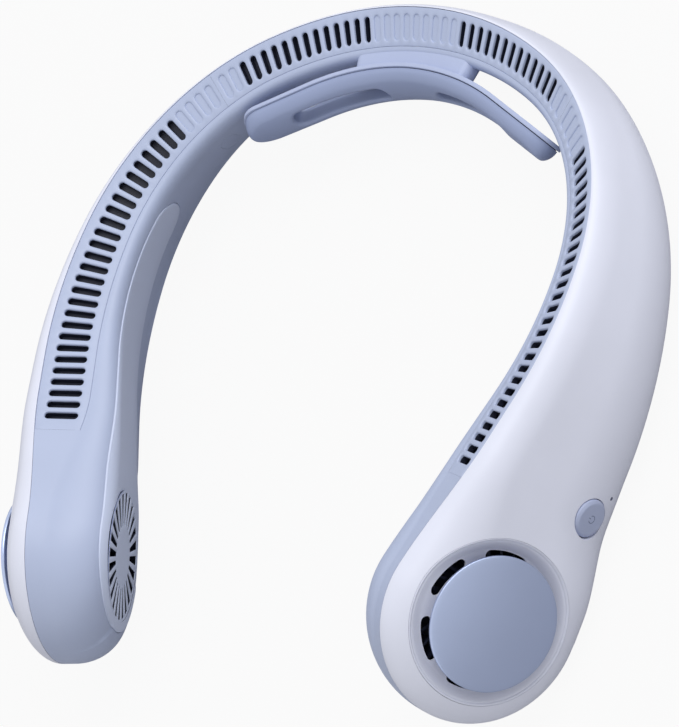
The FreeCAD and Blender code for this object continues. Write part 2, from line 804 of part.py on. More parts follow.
def power_button():
    flange = BUTTON_RADIUS + BUTTON_FLANGE
    top = BUTTON_EDGE + BUTTON_PROUD
    cap = turned_profile([(0, STEM_LOW), (BUTTON_STEM, STEM_LOW), (BUTTON_STEM, FLANGE_LOW),
                          (flange, FLANGE_LOW), (flange, FLANGE_TOP), (BUTTON_RADIUS, FLANGE_TOP),
                          (BUTTON_RADIUS, BUTTON_EDGE), (BUTTON_RADIUS - BUTTON_PROUD, top), (0, top)])
    return at_button(cap)


POST_RISE = BOARD_RISE + BOARD_HEIGHT / 2 - POST_INSET
POSTS = [(BOARD_SHIFT - BOARD_LENGTH / 2 + POST_INSET, POST_RISE),
         (BOARD_SHIFT + BOARD_LENGTH / 2 - POST_INSET, POST_RISE)]


def shifted(shape, x, y):
    shape.translate(V(x, y, 0))
    return shape


def control_board():
    board = shifted(bar(BOARD_LENGTH, BOARD_HEIGHT, BOARD_LOW, BOARD_TOP), BOARD_SHIFT, BOARD_RISE)
    hole = rod(SCREW_RADIUS + SHAFT_CLEAR, BOARD_LOW - WALL, BOARD_TOP + WALL)
    holes = [shifted(hole.copy(), x, y) for x, y in POSTS]
    return at_button(one(board.cut(holes)))


def tact_switch():
    body = bar(SWITCH_SIDE, SWITCH_SIDE, BOARD_TOP, BOARD_TOP + SWITCH_BODY)
    plunger = rod(BUTTON_STEM, BOARD_TOP + SWITCH_BODY, PLUNGER_TOP)
    return at_button(one(body.fuse(plunger)))


def light_pipe():
    return at_button(shifted(rod(LIGHT_RADIUS, BOARD_TOP, LIGHT_FACE), LIGHT_BACK, LIGHT_UP))


def board_screws():
    screws = []
    for x, y in POSTS:
        screw = rod(SCREW_HEAD, BOARD_LOW - SCREW_HEAD_THICK, BOARD_LOW)
        screw = screw.fuse(rod(SCREW_RADIUS, BOARD_LOW, BOARD_TOP + WALL)).removeSplitter()
        screws.append(shifted(one(screw), x, y))
    return at_button(Part.Compound(screws))


def board_posts():
    """Posts that stand out of the outer shell's wall and carry the board."""
    posts = []
    bore = rod(SCREW_RADIUS + FIT_GAP, BOARD_TOP, BOARD_TOP + 2 * WALL)
    for x, y in POSTS:
        wall = min(skin_height(x, y - POST_RADIUS), skin_height(x, y + POST_RADIUS)) - WALL / 2
        post = rod(POST_RADIUS, BOARD_TOP, wall).cut(bore)
        posts.append(at_button(shifted(one(post), x, y)))
    return posts


# Charging socket

PORT_ALONG = BUTTON_ALONG - BOARD_SHIFT
PORT_OUT = (outline(PORT_ALONG)[0][-1][0] + outline(PORT_ALONG)[1][-1][0]) / 2
PORT_MOUTH = -depth_at(PORT_ALONG) + PORT_SUNK


def at_port(shape):
    """A shape long in Y and drawn along Z, set square in the arm's sloping underside: Z down."""
    base, backward, outward, upward = section_frame(PORT_ALONG, PORT_OUT, PORT_MOUTH)
    slope = math.radians(FLARE)
    return set_at(shape, base, outward, backward * math.sin(slope) - upward * math.cos(slope))


def charge_port():
    shell = stadium(PORT_WIDE, PORT_TALL, -PORT_DEEP, 0)
    hollow = stadium(PORT_WIDE - 2 * PORT_WALL, PORT_TALL - 2 * PORT_WALL,
                     PORT_WALL - PORT_DEEP, CUT_PAST)
    tongue = bar(TONGUE_TALL, TONGUE_WIDE, -PORT_DEEP + PORT_WALL / 2, TONGUE_DEEP - PORT_DEEP)
    return at_port(one(shell.cut(hollow).fuse(tongue)))


def port_hole():
    return at_port(stadium(PORT_WIDE + 2 * PORT_GAP, PORT_TALL + 2 * PORT_GAP, -PORT_DEEP, CUT_PAST))


# Battery cells

def battery_cell():
    """A flat cell between the walls, clear of the rim above it and of the band's bend."""
    sag = CELL_LENGTH ** 2 / (8 * BACK_RADIUS)
    top = -(STRIP_THICK + STRIP_LEDGE) - RIM_HALF_BACK * math.sin(BEVEL) - 2 * CELL_GAP
    low = top - CELL_HEIGHT
    outer_face, inner_face = outline(CELL_ALONG, WALL)
    inner = max(level_on(inner_face, top), level_on(inner_face, low)) + CELL_GAP
    outer = min(level_on(outer_face, top), level_on(outer_face, low)) - sag - CELL_GAP
    cell = Part.makeBox(CELL_LENGTH, CELL_HEIGHT, outer - inner, V(-CELL_LENGTH / 2, low, inner))
    base, backward, outward, _ = section_frame(CELL_ALONG, 0, 0)
    return set_at(cell, base, backward, outward)


# Case screws and their plugs

def at_plug(shape):
    base, backward, outward, _ = section_frame(PLUG_ALONG, 0, -PLUG_DOWN)
    return set_at(shape, base, backward, outward)


PLUG_FACE = level_on(outline(PLUG_ALONG)[1], -PLUG_DOWN)
HEAD_LOW = PLUG_FACE + 2 * WALL
HEAD_TOP = HEAD_LOW + CASE_HEAD_THICK


def plug_tool(grow):
    return at_plug(stadium(PLUG_LONG + 2 * grow, PLUG_WIDE + 2 * grow, -CUT_FAR, HEAD_LOW - WALL / 2))


def case_screw():
    screw = rod(CASE_HEAD, HEAD_LOW, HEAD_TOP).fuse(rod(CASE_SCREW, HEAD_TOP, HEAD_TOP + CASE_SCREW_LONG))
    return at_plug(one(screw.removeSplitter()))


def case_boss():
    """A post from the outer shell's wall that the case screw bites into."""
    wall = face_level(PLUG_ALONG, PLUG_DOWN + BOSS_RADIUS) - WALL / 2
    post = rod(BOSS_RADIUS, HEAD_TOP, wall)
    return at_plug(one(post.cut(rod(CASE_SCREW + FIT_GAP, HEAD_TOP, HEAD_TOP + CASE_SCREW_LONG))))


# Neck pad, laid out in the worn frame

PAD_LENGTH = PAD_RADIUS * math.radians(PAD_TURN) + PAD_WING


def pad_place(along, ahead, up):
    """A point of the pad: along its bow, ahead of its seam towards the neck, and up."""
    bow = PAD_RADIUS * math.radians(PAD_TURN)
    turn = min(abs(along), bow) / PAD_RADIUS
    wing = max(abs(along) - bow, 0.0)
    radius = PAD_RADIUS - ahead
    x = radius * math.sin(turn) + wing * math.cos(turn)
    y = -PAD_SEAT - PAD_RADIUS + radius * math.cos(turn) - wing * math.sin(turn)
    return settle(math.copysign(x, along), y, up)


def rounded_half(along, start, end, half, round_run):
    """Half height along a slot or wing, with both ends rounded off."""
    left = min(along - start, end - along)
    if left >= round_run:
        return half
    return half * math.sqrt(max(1 - (1 - left / round_run) ** 2, 0.0025))


def pad_run(start, end, round_run):
    ends = [round_run * (1 - math.cos(math.radians(angle))) for angle in PAD_TURNS]
    middle = [mix(start + round_run, end - round_run, step / PAD_STEPS) for step in range(1, PAD_STEPS)]
    return [start + run for run in ends] + middle + [end - run for run in reversed(ends)]


def pad_half(along):
    half = mix(PAD_HALF, PAD_TIP_HALF, abs(along) / PAD_LENGTH)
    return rounded_half(along, -PAD_LENGTH, PAD_LENGTH, half, PAD_END_ROUND)


def pad_box(along, half, rear, front, middle=-PAD_MIDDLE):
    corners = [(rear, -half), (front, -half), (front, half), (rear, half)]
    return loop([pad_place(along, ahead, middle + up) for ahead, up in corners])


def pad_slots(rear, front):
    tools = []
    for side in SIDES:
        ends = sorted((side * PAD_SLOT_START, side * PAD_SLOT_END))
        wires = []
        for along in pad_run(ends[0], ends[1], PAD_SLOT_HALF):
            half = rounded_half(along, ends[0], ends[1], PAD_SLOT_HALF, PAD_SLOT_HALF)
            wires.append(pad_box(along, half, rear, front))
        tools.append(loft(wires))
    return tools


def cushion_wire(along):
    half = pad_half(along)
    share = half / mix(PAD_HALF, PAD_TIP_HALF, abs(along) / PAD_LENGTH)
    edge = CUSHION_GAP + CUSHION_EDGE * share
    crown = edge + (CUSHION_CROWN - CUSHION_EDGE) * share

    def spot(ahead, up):
        return pad_place(along, ahead, up - PAD_MIDDLE)
    front = Part.Arc(spot(edge, -half), spot(crown, 0), spot(edge, half)).toShape()
    return Part.Wire([line(spot(CUSHION_GAP, half), spot(CUSHION_GAP, -half)),
                      line(spot(CUSHION_GAP, -half), spot(edge, -half)), front,
                      line(spot(edge, half), spot(CUSHION_GAP, half))])


def neck_pad():
    run = pad_run(-PAD_LENGTH, PAD_LENGTH, PAD_END_ROUND)
    slots = pad_slots(-2 * FRAME_THICK, 2 * CUSHION_CROWN)
    cushion = loft([cushion_wire(along) for along in run])
    yield "neck_pad_cushion", one(cushion.cut(slots))
    frame = loft([pad_box(along, pad_half(along) + FRAME_LIP, -FRAME_THICK, 0) for along in run])
    yield "neck_pad_frame", one(frame.cut(slots))


def pad_mount():
    middle = -(MOUNT_TOP + MOUNT_LOW) / 2
    half = (MOUNT_LOW - MOUNT_TOP) / 2
    run = [mix(-MOUNT_HALF, MOUNT_HALF, step / MOUNT_STEPS) for step in range(MOUNT_STEPS + 1)]
    block = loft([pad_box(along, half, -FRAME_THICK - PAD_SEAT, -FRAME_THICK - FIT_GAP, middle)
                  for along in run])
    back = loft([inner_block_wire(along) for along in stations(POD_RADIUS) if abs(along) < 2 * MOUNT_HALF])
    return one(block.cut(back))


def inner_block_wire(along):
    """The inner half of the band, grown by a gap, as a block to cut the mount with."""
    outer, inner = outline(along, -MOUNT_GAP)
    points = [point(along, *spot) for spot in inner]
    top = point(along, outer[0][0], outer[0][1] + CUT_PAST)
    low = point(along, outer[-1][0], outer[-1][1])
    lead = point(along, inner[0][0], inner[0][1] + CUT_PAST)
    return Part.Wire([line(top, lead), line(lead, points[0]), curve(points), line(points[-1], low),
                      line(low, top)])


def shells():
    """Outer and inner half shells, with the covers and plugs cut out of the inner one."""
    outer = half_loft(outer_wire, POD_RADIUS).cut(half_loft(outer_hollow_wire, POD_RADIUS - WALL, LEAD))
    outer = outer.fuse(case_boss()).cut(on_pod(rod(DISH_RADIUS + DISH_GAP, 0, CUT_FAR)))
    outer = whole(one(outer)).fuse(board_posts())
    button_hole = at_button(rod(BUTTON_RADIUS + BUTTON_GAP, FLANGE_TOP, CUT_PAST))
    light_hole = rod(LIGHT_RADIUS + LIGHT_GAP, LIGHT_FACE - CUT_PAST, LIGHT_FACE + CUT_PAST)
    light_hole = at_button(shifted(light_hole, LIGHT_BACK, LIGHT_UP))
    yield "outer_shell", one(outer.cut([button_hole, light_hole, port_hole()]))

    wall = one(half_loft(inner_wire, POD_RADIUS).cut(half_loft(inner_hollow_wire, POD_RADIUS - WALL, LEAD)))
    cover = one(wall.common(cover_region(0)))
    yield from pair("inner_cover", one(cover.cut(grille_tools())))
    plug = one(wall.common(plug_tool(0)))
    yield "screw_plugs", Part.Compound([plug, mirrored(plug)])
    seat, mouth = strip_seat()
    wall = wall.cut(seat).cut(mouth).cut([cover_region(COVER_GAP), plug_tool(PLUG_GAP)])
    yield "inner_shell", one(whole(one(wall)).cut(port_hole()))


def pieces():
    yield from shells()
    yield from vent_strips()
    yield from neck_pad()
    yield "neck_pad_mount", pad_mount()
    yield "power_button", power_button()
    yield "control_board", control_board()
    yield "tact_switch", tact_switch()
    yield "light_pipe", light_pipe()
    yield "board_screws", board_screws()
    yield "charge_port", charge_port()
    yield "case_screws", Part.Compound([case_screw(), mirrored(case_screw())])
    yield from pair("intake_dish", intake_dish())
    yield from pair("disc_cap", disc_cap())
    yield from pair("motor_bearing", motor_bearing())
    yield from pair("rotor_shaft", rotor_shaft())
    yield from pair("stator_core", stator_core())
    yield from pair("motor_coils", motor_coils())
    yield from pair("rotor_magnet", rotor_magnet())
    yield from pair("impeller", impeller())
    yield from pair("battery_cell", battery_cell())


def report(name, shape):
    box = shape.BoundBox
    print(f"{name:24s} solids {len(shape.Solids)} valid {shape.isValid()} volume {shape.Volume:9.1f}"
          f" x {box.XMin:7.1f} {box.XMax:6.1f} y {box.YMin:7.1f} {box.YMax:6.1f}"
          f" z {box.ZMin:6.1f} {box.ZMax:6.1f}")


for node, solid in pieces():
    solid.exportStep(f"parts/{node}.step")
    report(node, solid)

base, _, outward, _ = pod_frame()
print("left fan axis", tuple(round(c, 3) for c in base), tuple(round(c, 6) for c in outward))
base, _, normal = button_frame()
print("button axis", tuple(round(c, 3) for c in base), tuple(round(c, 6) for c in normal))
print("tilt", round(math.degrees(TILT), 3), "shift", tuple(round(c, 3) for c in SHIFT))
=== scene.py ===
import math
import bmesh
import bpy
from mathutils import Matrix, Vector


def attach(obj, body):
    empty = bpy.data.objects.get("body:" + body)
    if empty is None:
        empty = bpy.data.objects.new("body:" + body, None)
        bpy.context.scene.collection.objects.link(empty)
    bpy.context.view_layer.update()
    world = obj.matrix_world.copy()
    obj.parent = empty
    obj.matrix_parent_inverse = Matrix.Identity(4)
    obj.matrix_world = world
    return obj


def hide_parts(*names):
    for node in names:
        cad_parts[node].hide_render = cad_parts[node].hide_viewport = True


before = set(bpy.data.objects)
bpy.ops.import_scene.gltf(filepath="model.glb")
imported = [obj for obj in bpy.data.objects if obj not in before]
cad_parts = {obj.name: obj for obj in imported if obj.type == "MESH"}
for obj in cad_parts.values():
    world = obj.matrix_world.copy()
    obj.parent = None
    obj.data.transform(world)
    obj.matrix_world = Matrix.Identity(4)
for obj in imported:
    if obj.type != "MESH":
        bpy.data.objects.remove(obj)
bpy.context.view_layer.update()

# Sizes are in millimetres, as the fan was drawn; stand() turns them into metres.
MM = 0.001

# Plan of the band, from the middle of the back along one arm
BACK_ARC = (104.2, 28.0)
CORNER_ARC = (65.9, 58.6)
ARM_ARC = (106.2, 20.4)
POD_RUN = 50.0

# Section of the band
LEAN = 16.0
BACK_DEPTH = 21.5
FLARE = 13.6
FLARE_EASE = 4.0
BACK_OUT, POD_OUT = 7.0, 14.3
BACK_IN, POD_IN = 6.4, 11.9
IN_TAPER = 13.0
RIM_BEVEL = 27.0
RIM_HALF_BACK, RIM_HALF_FRONT = 5.6, 7.6
TOP_ROUND, LOW_ROUND = 8.6, 25.0
IN_TOP_ROUND, IN_LOW_ROUND = 6.0, 17.0
FOOT_OUT, FOOT_IN = 0.1, -2.9
WALL = 1.8
SEAM = 0.15

# Pods
POD_RADIUS, POD_DROP, POD_LIFT = 28.0, 24.6, 1.3
POD_ROUND, POD_LOW_ROUND = 14.0, 14.0
POD_IN_TOP_ROUND, POD_IN_LOW_ROUND = 10.0, 8.4
POD_FOOT_OUT, POD_FOOT_IN = 7.2, 4.2
POD_RIM_HALF, POD_RIM_OUT = 3.0, 1.6
# Where the band turns into the pod, in pod radii, and where the tip's edge eases
POD_BLEND, TIP_EASE = (1.35, 0.5), 0.4

# Vent strips
STRIP_IN_MARGIN, STRIP_OUT_MARGIN = 0.5, 0.2
STRIP_THICK, STRIP_LEDGE = 1.5, 1.5
SLOT_PITCH, SLOT_JOIN = 3.47, 1.4
SLOT_WIDTH, SLOT_BACK, SLOT_FRONT = 2.0, 7.0, 9.3
SLOT_COUNT, SLOTS_BACK = 51, 20
BLIND_MIDDLE, BLIND_JOIN = 5, (18, 23)
STRIP_RUNOUT = 4.5
STRIP_JOINT, STRIP_GAP, SEAT_DEEP = 0.02, 0.05, 0.5
EDGE_ROUND, SLOT_ROUND, ROUND_SHARE = 0.12, 0.3, 0.3
# A see-through slot's walls keep the strip's blue down to SLOT_LIT and are near-black painted shade below it
BLIND_DEEP, SLOT_LIT, SLOT_BELOW = 0.4, 0.8, 0.9
# Steps of the rim's lip beside a strip and of a slot's mouth, outwards and up
RIM_LIP = ((0, -STRIP_THICK), (0, -1.0), (0, -0.5), (0, -0.12), (-0.02, -0.05), (-0.05, -0.02), (-0.12, 0))
SLOT_MOUTH = [(2 * SLOT_ROUND, 0), (SLOT_ROUND, -0.04), (0.1, -0.14), (0, -SLOT_ROUND)]
DUCT_MARGIN, DUCT_TOP, DUCT_FLOOR = 1.6, -STRIP_THICK - 0.05, -2.7
DUCT_SLOPE, DUCT_SHIFT = 0.4, 0.2

# Inner covers and their grilles
COVER_RADIUS, COVER_START = 20.5, 101.0
COVER_TOP, COVER_LOW, COVER_END_ROUND = 5.5, 9.3, 8.0
COVER_PROUD, COVER_GAP, COVER_BACK = 0.3, 0.15, -1.5
COVER_ROUND, COVER_BEND, COVER_CUT = 0.35, 0.1, (-30.0, -1.0)
GRILLE_COUNT, GRILLE_OUTER, GRILLE_INNER = 24, 17.2, 8.5
GRILLE_WIDE, GRILLE_NARROW, GRILLE_THICK, GRILLE_DEEP = 2.7, 1.2, 0.25, 1.0
GRILLE_SEAT, GRILLE_RING, GRILLE_ROUND = 0.6, 0.7, 0.1
SPOKE_LAP, SPOKE_ROUND, SPOKE_WALL, WALL_ROUND = 0.2, 0.12, 0.96, 0.01
HUB_RIM, HUB_DIP = 1.2, 0.15

# Dishes and disc caps
DISH_RADIUS, DISH_SINK, DISH_FLOOR, DISH_GAP = 22.1, 0.5, 1.0, 0.1
DISH_CURVE, DISH_STEPS = 1.4, 10
LIP_WIDE, LIP_TOP, LIP_RISE, LIP_FALL, LIP_ROUND = 0.7, 0.45, 0.12, 0.1, 0.15
ARC_COUNT, ARC_SPAN, ARC_TURN, ARC_INNER, ARC_OUTER = 6, 31.0, 17.0, 15.4, 18.4
ARC_MARGIN, ARC_BELOW, ARC_ABOVE = 0.2, 4, 2
CAP_RADIUS, CAP_THICK, CAP_STAND, CAP_EDGE, CAP_STEM = 17.85, 1.9, 2.25, 0.5, 6.0
CAP_RISE, CAP_FALL, CAP_SIDE, CAP_STEPS = 0.3, 0.8, 0.05, 16

# Button, light, charging socket and screw plugs
BUTTON_ALONG, BUTTON_DOWN, BUTTON_RADIUS, BUTTON_PROUD = 169.8, 33.8, 5.2, 0.45
BUTTON_GAP, BUTTON_DEEP, BUTTON_EDGE, BUTTON_FALL, BUTTON_ROUND = 0.25, 4.0, 0.9, 0.65, 0.3
SIGN_RADIUS, SIGN_LINE, SIGN_ARC, SIGN_BAR = 1.0, 0.22, (130, 410), (0.4, 1.3)
SIGN_LEVELS, SIGN_STEPS = (-0.05, 0.01), 40
LIGHT_BACK, LIGHT_UP, LIGHT_RADIUS, LIGHT_GAP = 7.5, -4.25, 0.5, 0.05
PORT_ALONG, PORT_WIDE, PORT_TALL, PORT_SUNK = 165.8, 9.24, 3.44, 0.4
PLUG_ALONG, PLUG_DOWN, PLUG_WIDE, PLUG_LONG = 77.5, 14.5, 5.56, 9.16
# How far the shapes that cut the shells reach, low and high
BORE_REACH, BUTTON_REACH, LIGHT_REACH = (4, 20), (-4, 4), (-5, 4)
PORT_REACH, PLUG_REACH, PLUG_OUT = (-9.6, 3), (-20, 2), -4

# Neck pad
PAD_RADIUS, PAD_TURN, PAD_WING = 80.0, 25.0, 24.0
PAD_SEAT, PAD_MIDDLE = 11.2, 8.7
PAD_HALF, PAD_TIP_HALF, PAD_END_ROUND = 7.2, 6.0, 7.0
CUSHION_EDGE, CUSHION_CROWN = 2.4, 4.8
FRAME_THICK, FRAME_LIP = 1.2, 0.4
PAD_SLOT_START, PAD_SLOT_END, PAD_SLOT_HALF = 10.0, 43.0, 2.6
PAD_ROLL, PAD_SLOT_ROLL, PAD_WALL = 2.0, 1.2, 0.9
PAD_SEAM_GAP, PAD_SEAM_DEEP, PAD_LAP = 0.25, 0.5, 0.1
FRAME_SLOT_GROW, FRAME_ROUND = 0.4, 0.35
LAYER_MESH, CUSHION_MESH, TOOL_MESH = 2.2, 1.6, 60.0
PAD_RING, PAD_SLOT_RING, ROLL_STEPS = 360, 96, 8
MOUNT_HALF, MOUNT_TOP, MOUNT_LOW, MOUNT_ROUND = 20.0, 3.0, 9.0, 2.6
MOUNT_LAP, MOUNT_BACK, MOUNT_SLOPE, MOUNT_BOW = 0.05, -6.0, 0.26, 26

# How the fan stands on a table, compared with how it is worn
STAND_TILT = math.radians(10.212)
STAND_SHIFT = Vector((0, 88.216, 21.902))


def mix(start, end, share):
    return start + (end - start) * share


def ease(value, start, end):
    share = min(max((value - start) / (end - start), 0.0), 1.0)
    return share * share * (3 - 2 * share)


def shares(count, last=0):
    """Equal shares from 0, with 1 as well where last is 1."""
    return [i / count for i in range(count + last)]


def between(start, end, share):
    return mix(start[0], end[0], share), mix(start[1], end[1], share)


def round_spot(radius, turn, x=0.0, y=0.0):
    """A point of a circle about x and y."""
    return x + radius * math.cos(turn), y + radius * math.sin(turn)


ARCS = [(radius, math.radians(turn)) for radius, turn in (BACK_ARC, CORNER_ARC, ARM_ARC)]
BACK_END = ARCS[0][0] * ARCS[0][1]
ARM_END = sum(radius * turn for radius, turn in ARCS)
POD_ALONG = ARM_END + POD_RUN
POD_BLEND_START, POD_BLEND_END = (POD_ALONG - share * POD_RADIUS for share in POD_BLEND)


def slot_along(number):
    return number * SLOT_PITCH + (SLOT_JOIN if number >= SLOTS_BACK else 0.0)


STRIP_JOIN = (slot_along(SLOTS_BACK - 1) + slot_along(SLOTS_BACK)) / 2
FIRST_SLOT = slot_along(SLOT_COUNT - 1)
STRIP_END = FIRST_SLOT + STRIP_RUNOUT


def rim(along):
    """Place and heading of the rim's middle line on the left half."""
    x, y, heading, left = 0.0, 0.0, 0.0, along
    for radius, turn in ARCS:
        bend = min(left / radius, turn)
        x += radius * (math.sin(heading + bend) - math.sin(heading))
        y += radius * (math.cos(heading + bend) - math.cos(heading))
        heading += bend
        left -= radius * bend
    return x + left * math.cos(heading), y - left * math.sin(heading), heading


def stand(x, y, z):
    """From the worn fan to the fan on its table, in metres."""
    sine, cosine = math.sin(STAND_TILT), math.cos(STAND_TILT)
    return (Vector((x, y * cosine + z * sine, z * cosine - y * sine)) + STAND_SHIFT) * MM


def place(along, out, up):
    """A spot of a section: along the band, out from the rim's line and up."""
    x, y, heading = rim(abs(along))
    lean = math.radians(LEAN)
    across = out * math.cos(lean) - up * math.sin(lean)
    x += across * math.sin(heading)
    return stand(math.copysign(x, along), y + across * math.cos(heading),
                 out * math.sin(lean) + up * math.cos(lean))


def depth_at(along):
    flare = math.radians(FLARE)
    if along > POD_ALONG - POD_RADIUS * math.sin(flare):
        return POD_DROP + math.sqrt(max(POD_RADIUS ** 2 - (along - POD_ALONG) ** 2, 0.0))
    line = POD_DROP + POD_RADIUS / math.cos(flare) - (POD_ALONG - along) * math.tan(flare)
    return (BACK_DEPTH + line + math.hypot(line - BACK_DEPTH, FLARE_EASE)) / 2


BEVEL = math.radians(RIM_BEVEL - LEAN)


def rim_half(along):
    half = mix(RIM_HALF_BACK, RIM_HALF_FRONT, ease(along, BACK_END, FIRST_SLOT))
    return mix(half, POD_RIM_HALF, ease(along, POD_BLEND_START, POD_ALONG))


def on_bevel(along, across, above):
    """Section spot of a point on the bevelled rim, which moves up and out at the pod."""
    share = ease(along, POD_BLEND_START, POD_ALONG)
    return (across * math.cos(BEVEL) - above * math.sin(BEVEL) + POD_RIM_OUT * share,
            across * math.sin(BEVEL) + above * math.cos(BEVEL) + POD_LIFT * share)


def face_of(along, inner, inset):
    """What shapes a face, or its wall's inside: edges, middle, half height, level, roundings, taper."""
    spot = min(abs(along), POD_ALONG)
    pod = ease(spot, POD_BLEND_START, POD_BLEND_END)
    if inner:
        level = -mix(BACK_IN, POD_IN, ease(spot, BACK_END + CORNER_ARC[0], POD_ALONG)) + inset
        head, top = on_bevel(spot, -rim_half(spot), 0)
        top -= STRIP_THICK + STRIP_LEDGE if inset else 0.0
        foot, taper = mix(FOOT_IN, POD_FOOT_IN, pod), math.tan(math.radians(IN_TAPER))
        rounds = mix(IN_TOP_ROUND, POD_IN_TOP_ROUND, pod), mix(IN_LOW_ROUND, POD_IN_LOW_ROUND, pod)
    else:
        level = mix(BACK_OUT, POD_OUT, ease(spot, BACK_END, POD_BLEND_END)) - inset
        head, top = on_bevel(spot, rim_half(spot), 0)
        top -= inset
        foot, taper = mix(FOOT_OUT, POD_FOOT_OUT, pod), 0.0
        rounds = mix(TOP_ROUND, POD_ROUND, pod), mix(LOW_ROUND, POD_LOW_ROUND, pod)
    low = -depth_at(spot) + inset
    return (foot, head), (top + low) / 2, (top - low) / 2, level, rounds, taper


def face_spot(along, step, inner, inset=0.0):
    """Section spot on a face; step goes from 1 at the rim to -1 at the foot."""
    edges, middle, half, level, rounds, taper = face_of(along, inner, inset)
    ahead = min(max(0.0, abs(along) - POD_ALONG) / (POD_RADIUS - inset), 1.0)
    shrink = math.sqrt(1 - ahead * ahead)
    rise = half * shrink * step
    reach = math.hypot(ahead, shrink * step)
    share = mix(1.0 if step > 0 else 0.0, (1 + step * shrink) / 2, ease(ahead, 0.0, TIP_EASE))
    edge = mix(*edges, share)
    flat = 1 - min(rounds[0 if step > 0 else 1] / half, 1.0)
    fall = math.sqrt(max(0.0, 1 - (max(reach - flat, 0.0) / (1 - flat)) ** 2))
    return edge + (level - taper * rise - edge) * fall, middle + rise


def face_out(along, up, inner):
    """How far out a face lies at a height of its section."""
    middle, half = face_of(along, inner, 0.0)[1:3]
    ahead = min(max(0.0, abs(along) - POD_ALONG) / POD_RADIUS, 1.0)
    reach = half * math.sqrt(1 - ahead * ahead)
    step = min(max((up - middle) / max(reach, NEAR_ZERO), -1.0), 1.0)
    return face_spot(along, step, inner)[0]


# Mesh helpers

FINE_WELD, WELD = 1e-7, 0.00002
NEAR_ZERO = 1e-6


def add_object(name, data):
    made = bpy.data.objects.new(name, data)
    bpy.context.scene.collection.objects.link(made)
    return made


def new_piece(name, points, faces, material, merge=FINE_WELD, sharp=40.0, dark=()):
    """A tidy piece; dark numbers the faces that get the near-black painted shade."""
    mesh = bpy.data.meshes.new(name)
    mesh.from_pydata([tuple(p) for p in points], [], faces)
    mesh.update()
    mesh.materials.append(material)
    if dark:
        mesh.materials.append(PAINTED_SHADE)
    for number in dark:
        mesh.polygons[number].material_index = 1
    return tidy_mesh(add_object(name, mesh), merge, sharp)


def smooth(piece, sharp):
    """Smooths all but the sharp edges."""
    piece.data.shade_smooth()
    piece.data.set_sharp_from_angle(angle=math.radians(sharp))
    return piece


def tidy_mesh(piece, merge, sharp):
    """Welds doubles, turns the faces outwards and smooths all but the sharp edges."""
    mesh = piece.data
    work = bmesh.new()
    work.from_mesh(mesh)
    bmesh.ops.remove_doubles(work, verts=work.verts, dist=merge)
    bmesh.ops.dissolve_degenerate(work, edges=work.edges, dist=merge / 10)
    bmesh.ops.recalc_face_normals(work, faces=work.faces)
    work.to_mesh(mesh)
    work.free()
    return smooth(piece, sharp)


def apply_modifiers(piece):
    """Turns the piece with its modifiers into a plain mesh."""
    graph = bpy.context.evaluated_depsgraph_get()
    mesh = bpy.data.meshes.new_from_object(piece.evaluated_get(graph))
    piece.modifiers.clear()
    piece.data = mesh
    return piece


def grid_faces(rows, columns, closed=False):
    """Faces between rows of points; closed joins each row's end to its start."""
    faces = []
    for i in range(rows - 1):
        for j in range(columns if closed else columns - 1):
            here, there, ahead = i * columns, (i + 1) * columns, (j + 1) % columns
            faces.append((here + j, here + ahead, there + ahead, there + j))
    return faces


def add_rings(points, faces, rings, cap=False, closed=True):
    """Joins rings or open rows of equal count by faces; cap fills the last one."""
    count = len(rings[0])
    first = len(points)
    points += [spot for ring in rings for spot in ring]
    for face in grid_faces(len(rings), count, closed):
        faces.append(tuple(first + i for i in face))
    if cap:
        last = first + (len(rings) - 1) * count
        faces.append(tuple(last + i for i in range(count)))


def prism(name, rings, material, sharp=40.0):
    """A closed piece through rings of points, filled at both ends."""
    points, faces = [], []
    add_rings(points, faces, rings, cap=True)
    faces.append(tuple(reversed(range(len(rings[0])))))
    return new_piece(name, points, faces, material, sharp=sharp)


def flat_rings(outline, heights):
    return [[Vector((x, y, z)) * MM for x, y in outline] for z in heights]


def cut(piece, tools):
    """Takes tool shapes out of a closed piece and removes the tools."""
    for tool in tools:
        hole = piece.modifiers.new("hole", "BOOLEAN")
        hole.operation = "DIFFERENCE"
        hole.solver = "EXACT"
        hole.object = tool
    apply_modifiers(piece)
    for tool in tools:
        bpy.data.objects.remove(tool)
    return smooth(piece, SHELL_SHARP)


def settle_on(piece, slot, *nodes, body="housing"):
    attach(piece, body)
    if nodes:
        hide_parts(*nodes)


def frame_at(along, out, up):
    """Axes at a section spot of the left half: back along the arm, up, and outwards as Z."""
    base = place(along, out, up)
    outward = (place(along, out + 1, up) - base).normalized()
    upward = (place(along, out, up + 1) - base).normalized()
    return Matrix((upward.cross(outward), upward, outward)).transposed().to_4x4(), base


def pod_frame(side):
    return frame_at(side * POD_ALONG, 0, -POD_DROP)


def set_frame(piece, turn, base):
    """Moves the mesh itself, so that the object stays at the origin."""
    piece.data.transform(Matrix.Translation(base) @ turn)
    return piece


def lathe(name, profile, material, steps=96):
    """A closed turned piece about Z from (radius, height) points, from axis to axis."""
    turns = [2 * math.pi * i / steps for i in range(steps)]
    points = [Vector((*round_spot(radius, turn), height)) * MM
              for radius, height in profile for turn in turns]
    faces = grid_faces(len(profile), steps, closed=True)
    return new_piece(name, points, faces, material)


# A rounding takes just under half of the shorter side of its corner
CORNER_SPLIT = 2.01


def rounded(profile, radius, steps=4):
    """A profile with its inner corners rounded off."""
    path = [profile[0]]
    for before, corner, after in zip(profile, profile[1:], profile[2:]):
        b, c, a = Vector(before), Vector(corner), Vector(after)
        to_b, to_a = b - c, a - c
        reach = min(radius, to_b.length / CORNER_SPLIT, to_a.length / CORNER_SPLIT)
        first, last = c + to_b.normalized() * reach, c + to_a.normalized() * reach
        for i in range(steps + 1):
            t = i / steps
            path.append(tuple(first * (1 - t) ** 2 + c * 2 * t * (1 - t) + last * t * t))
    return path + [profile[-1]]


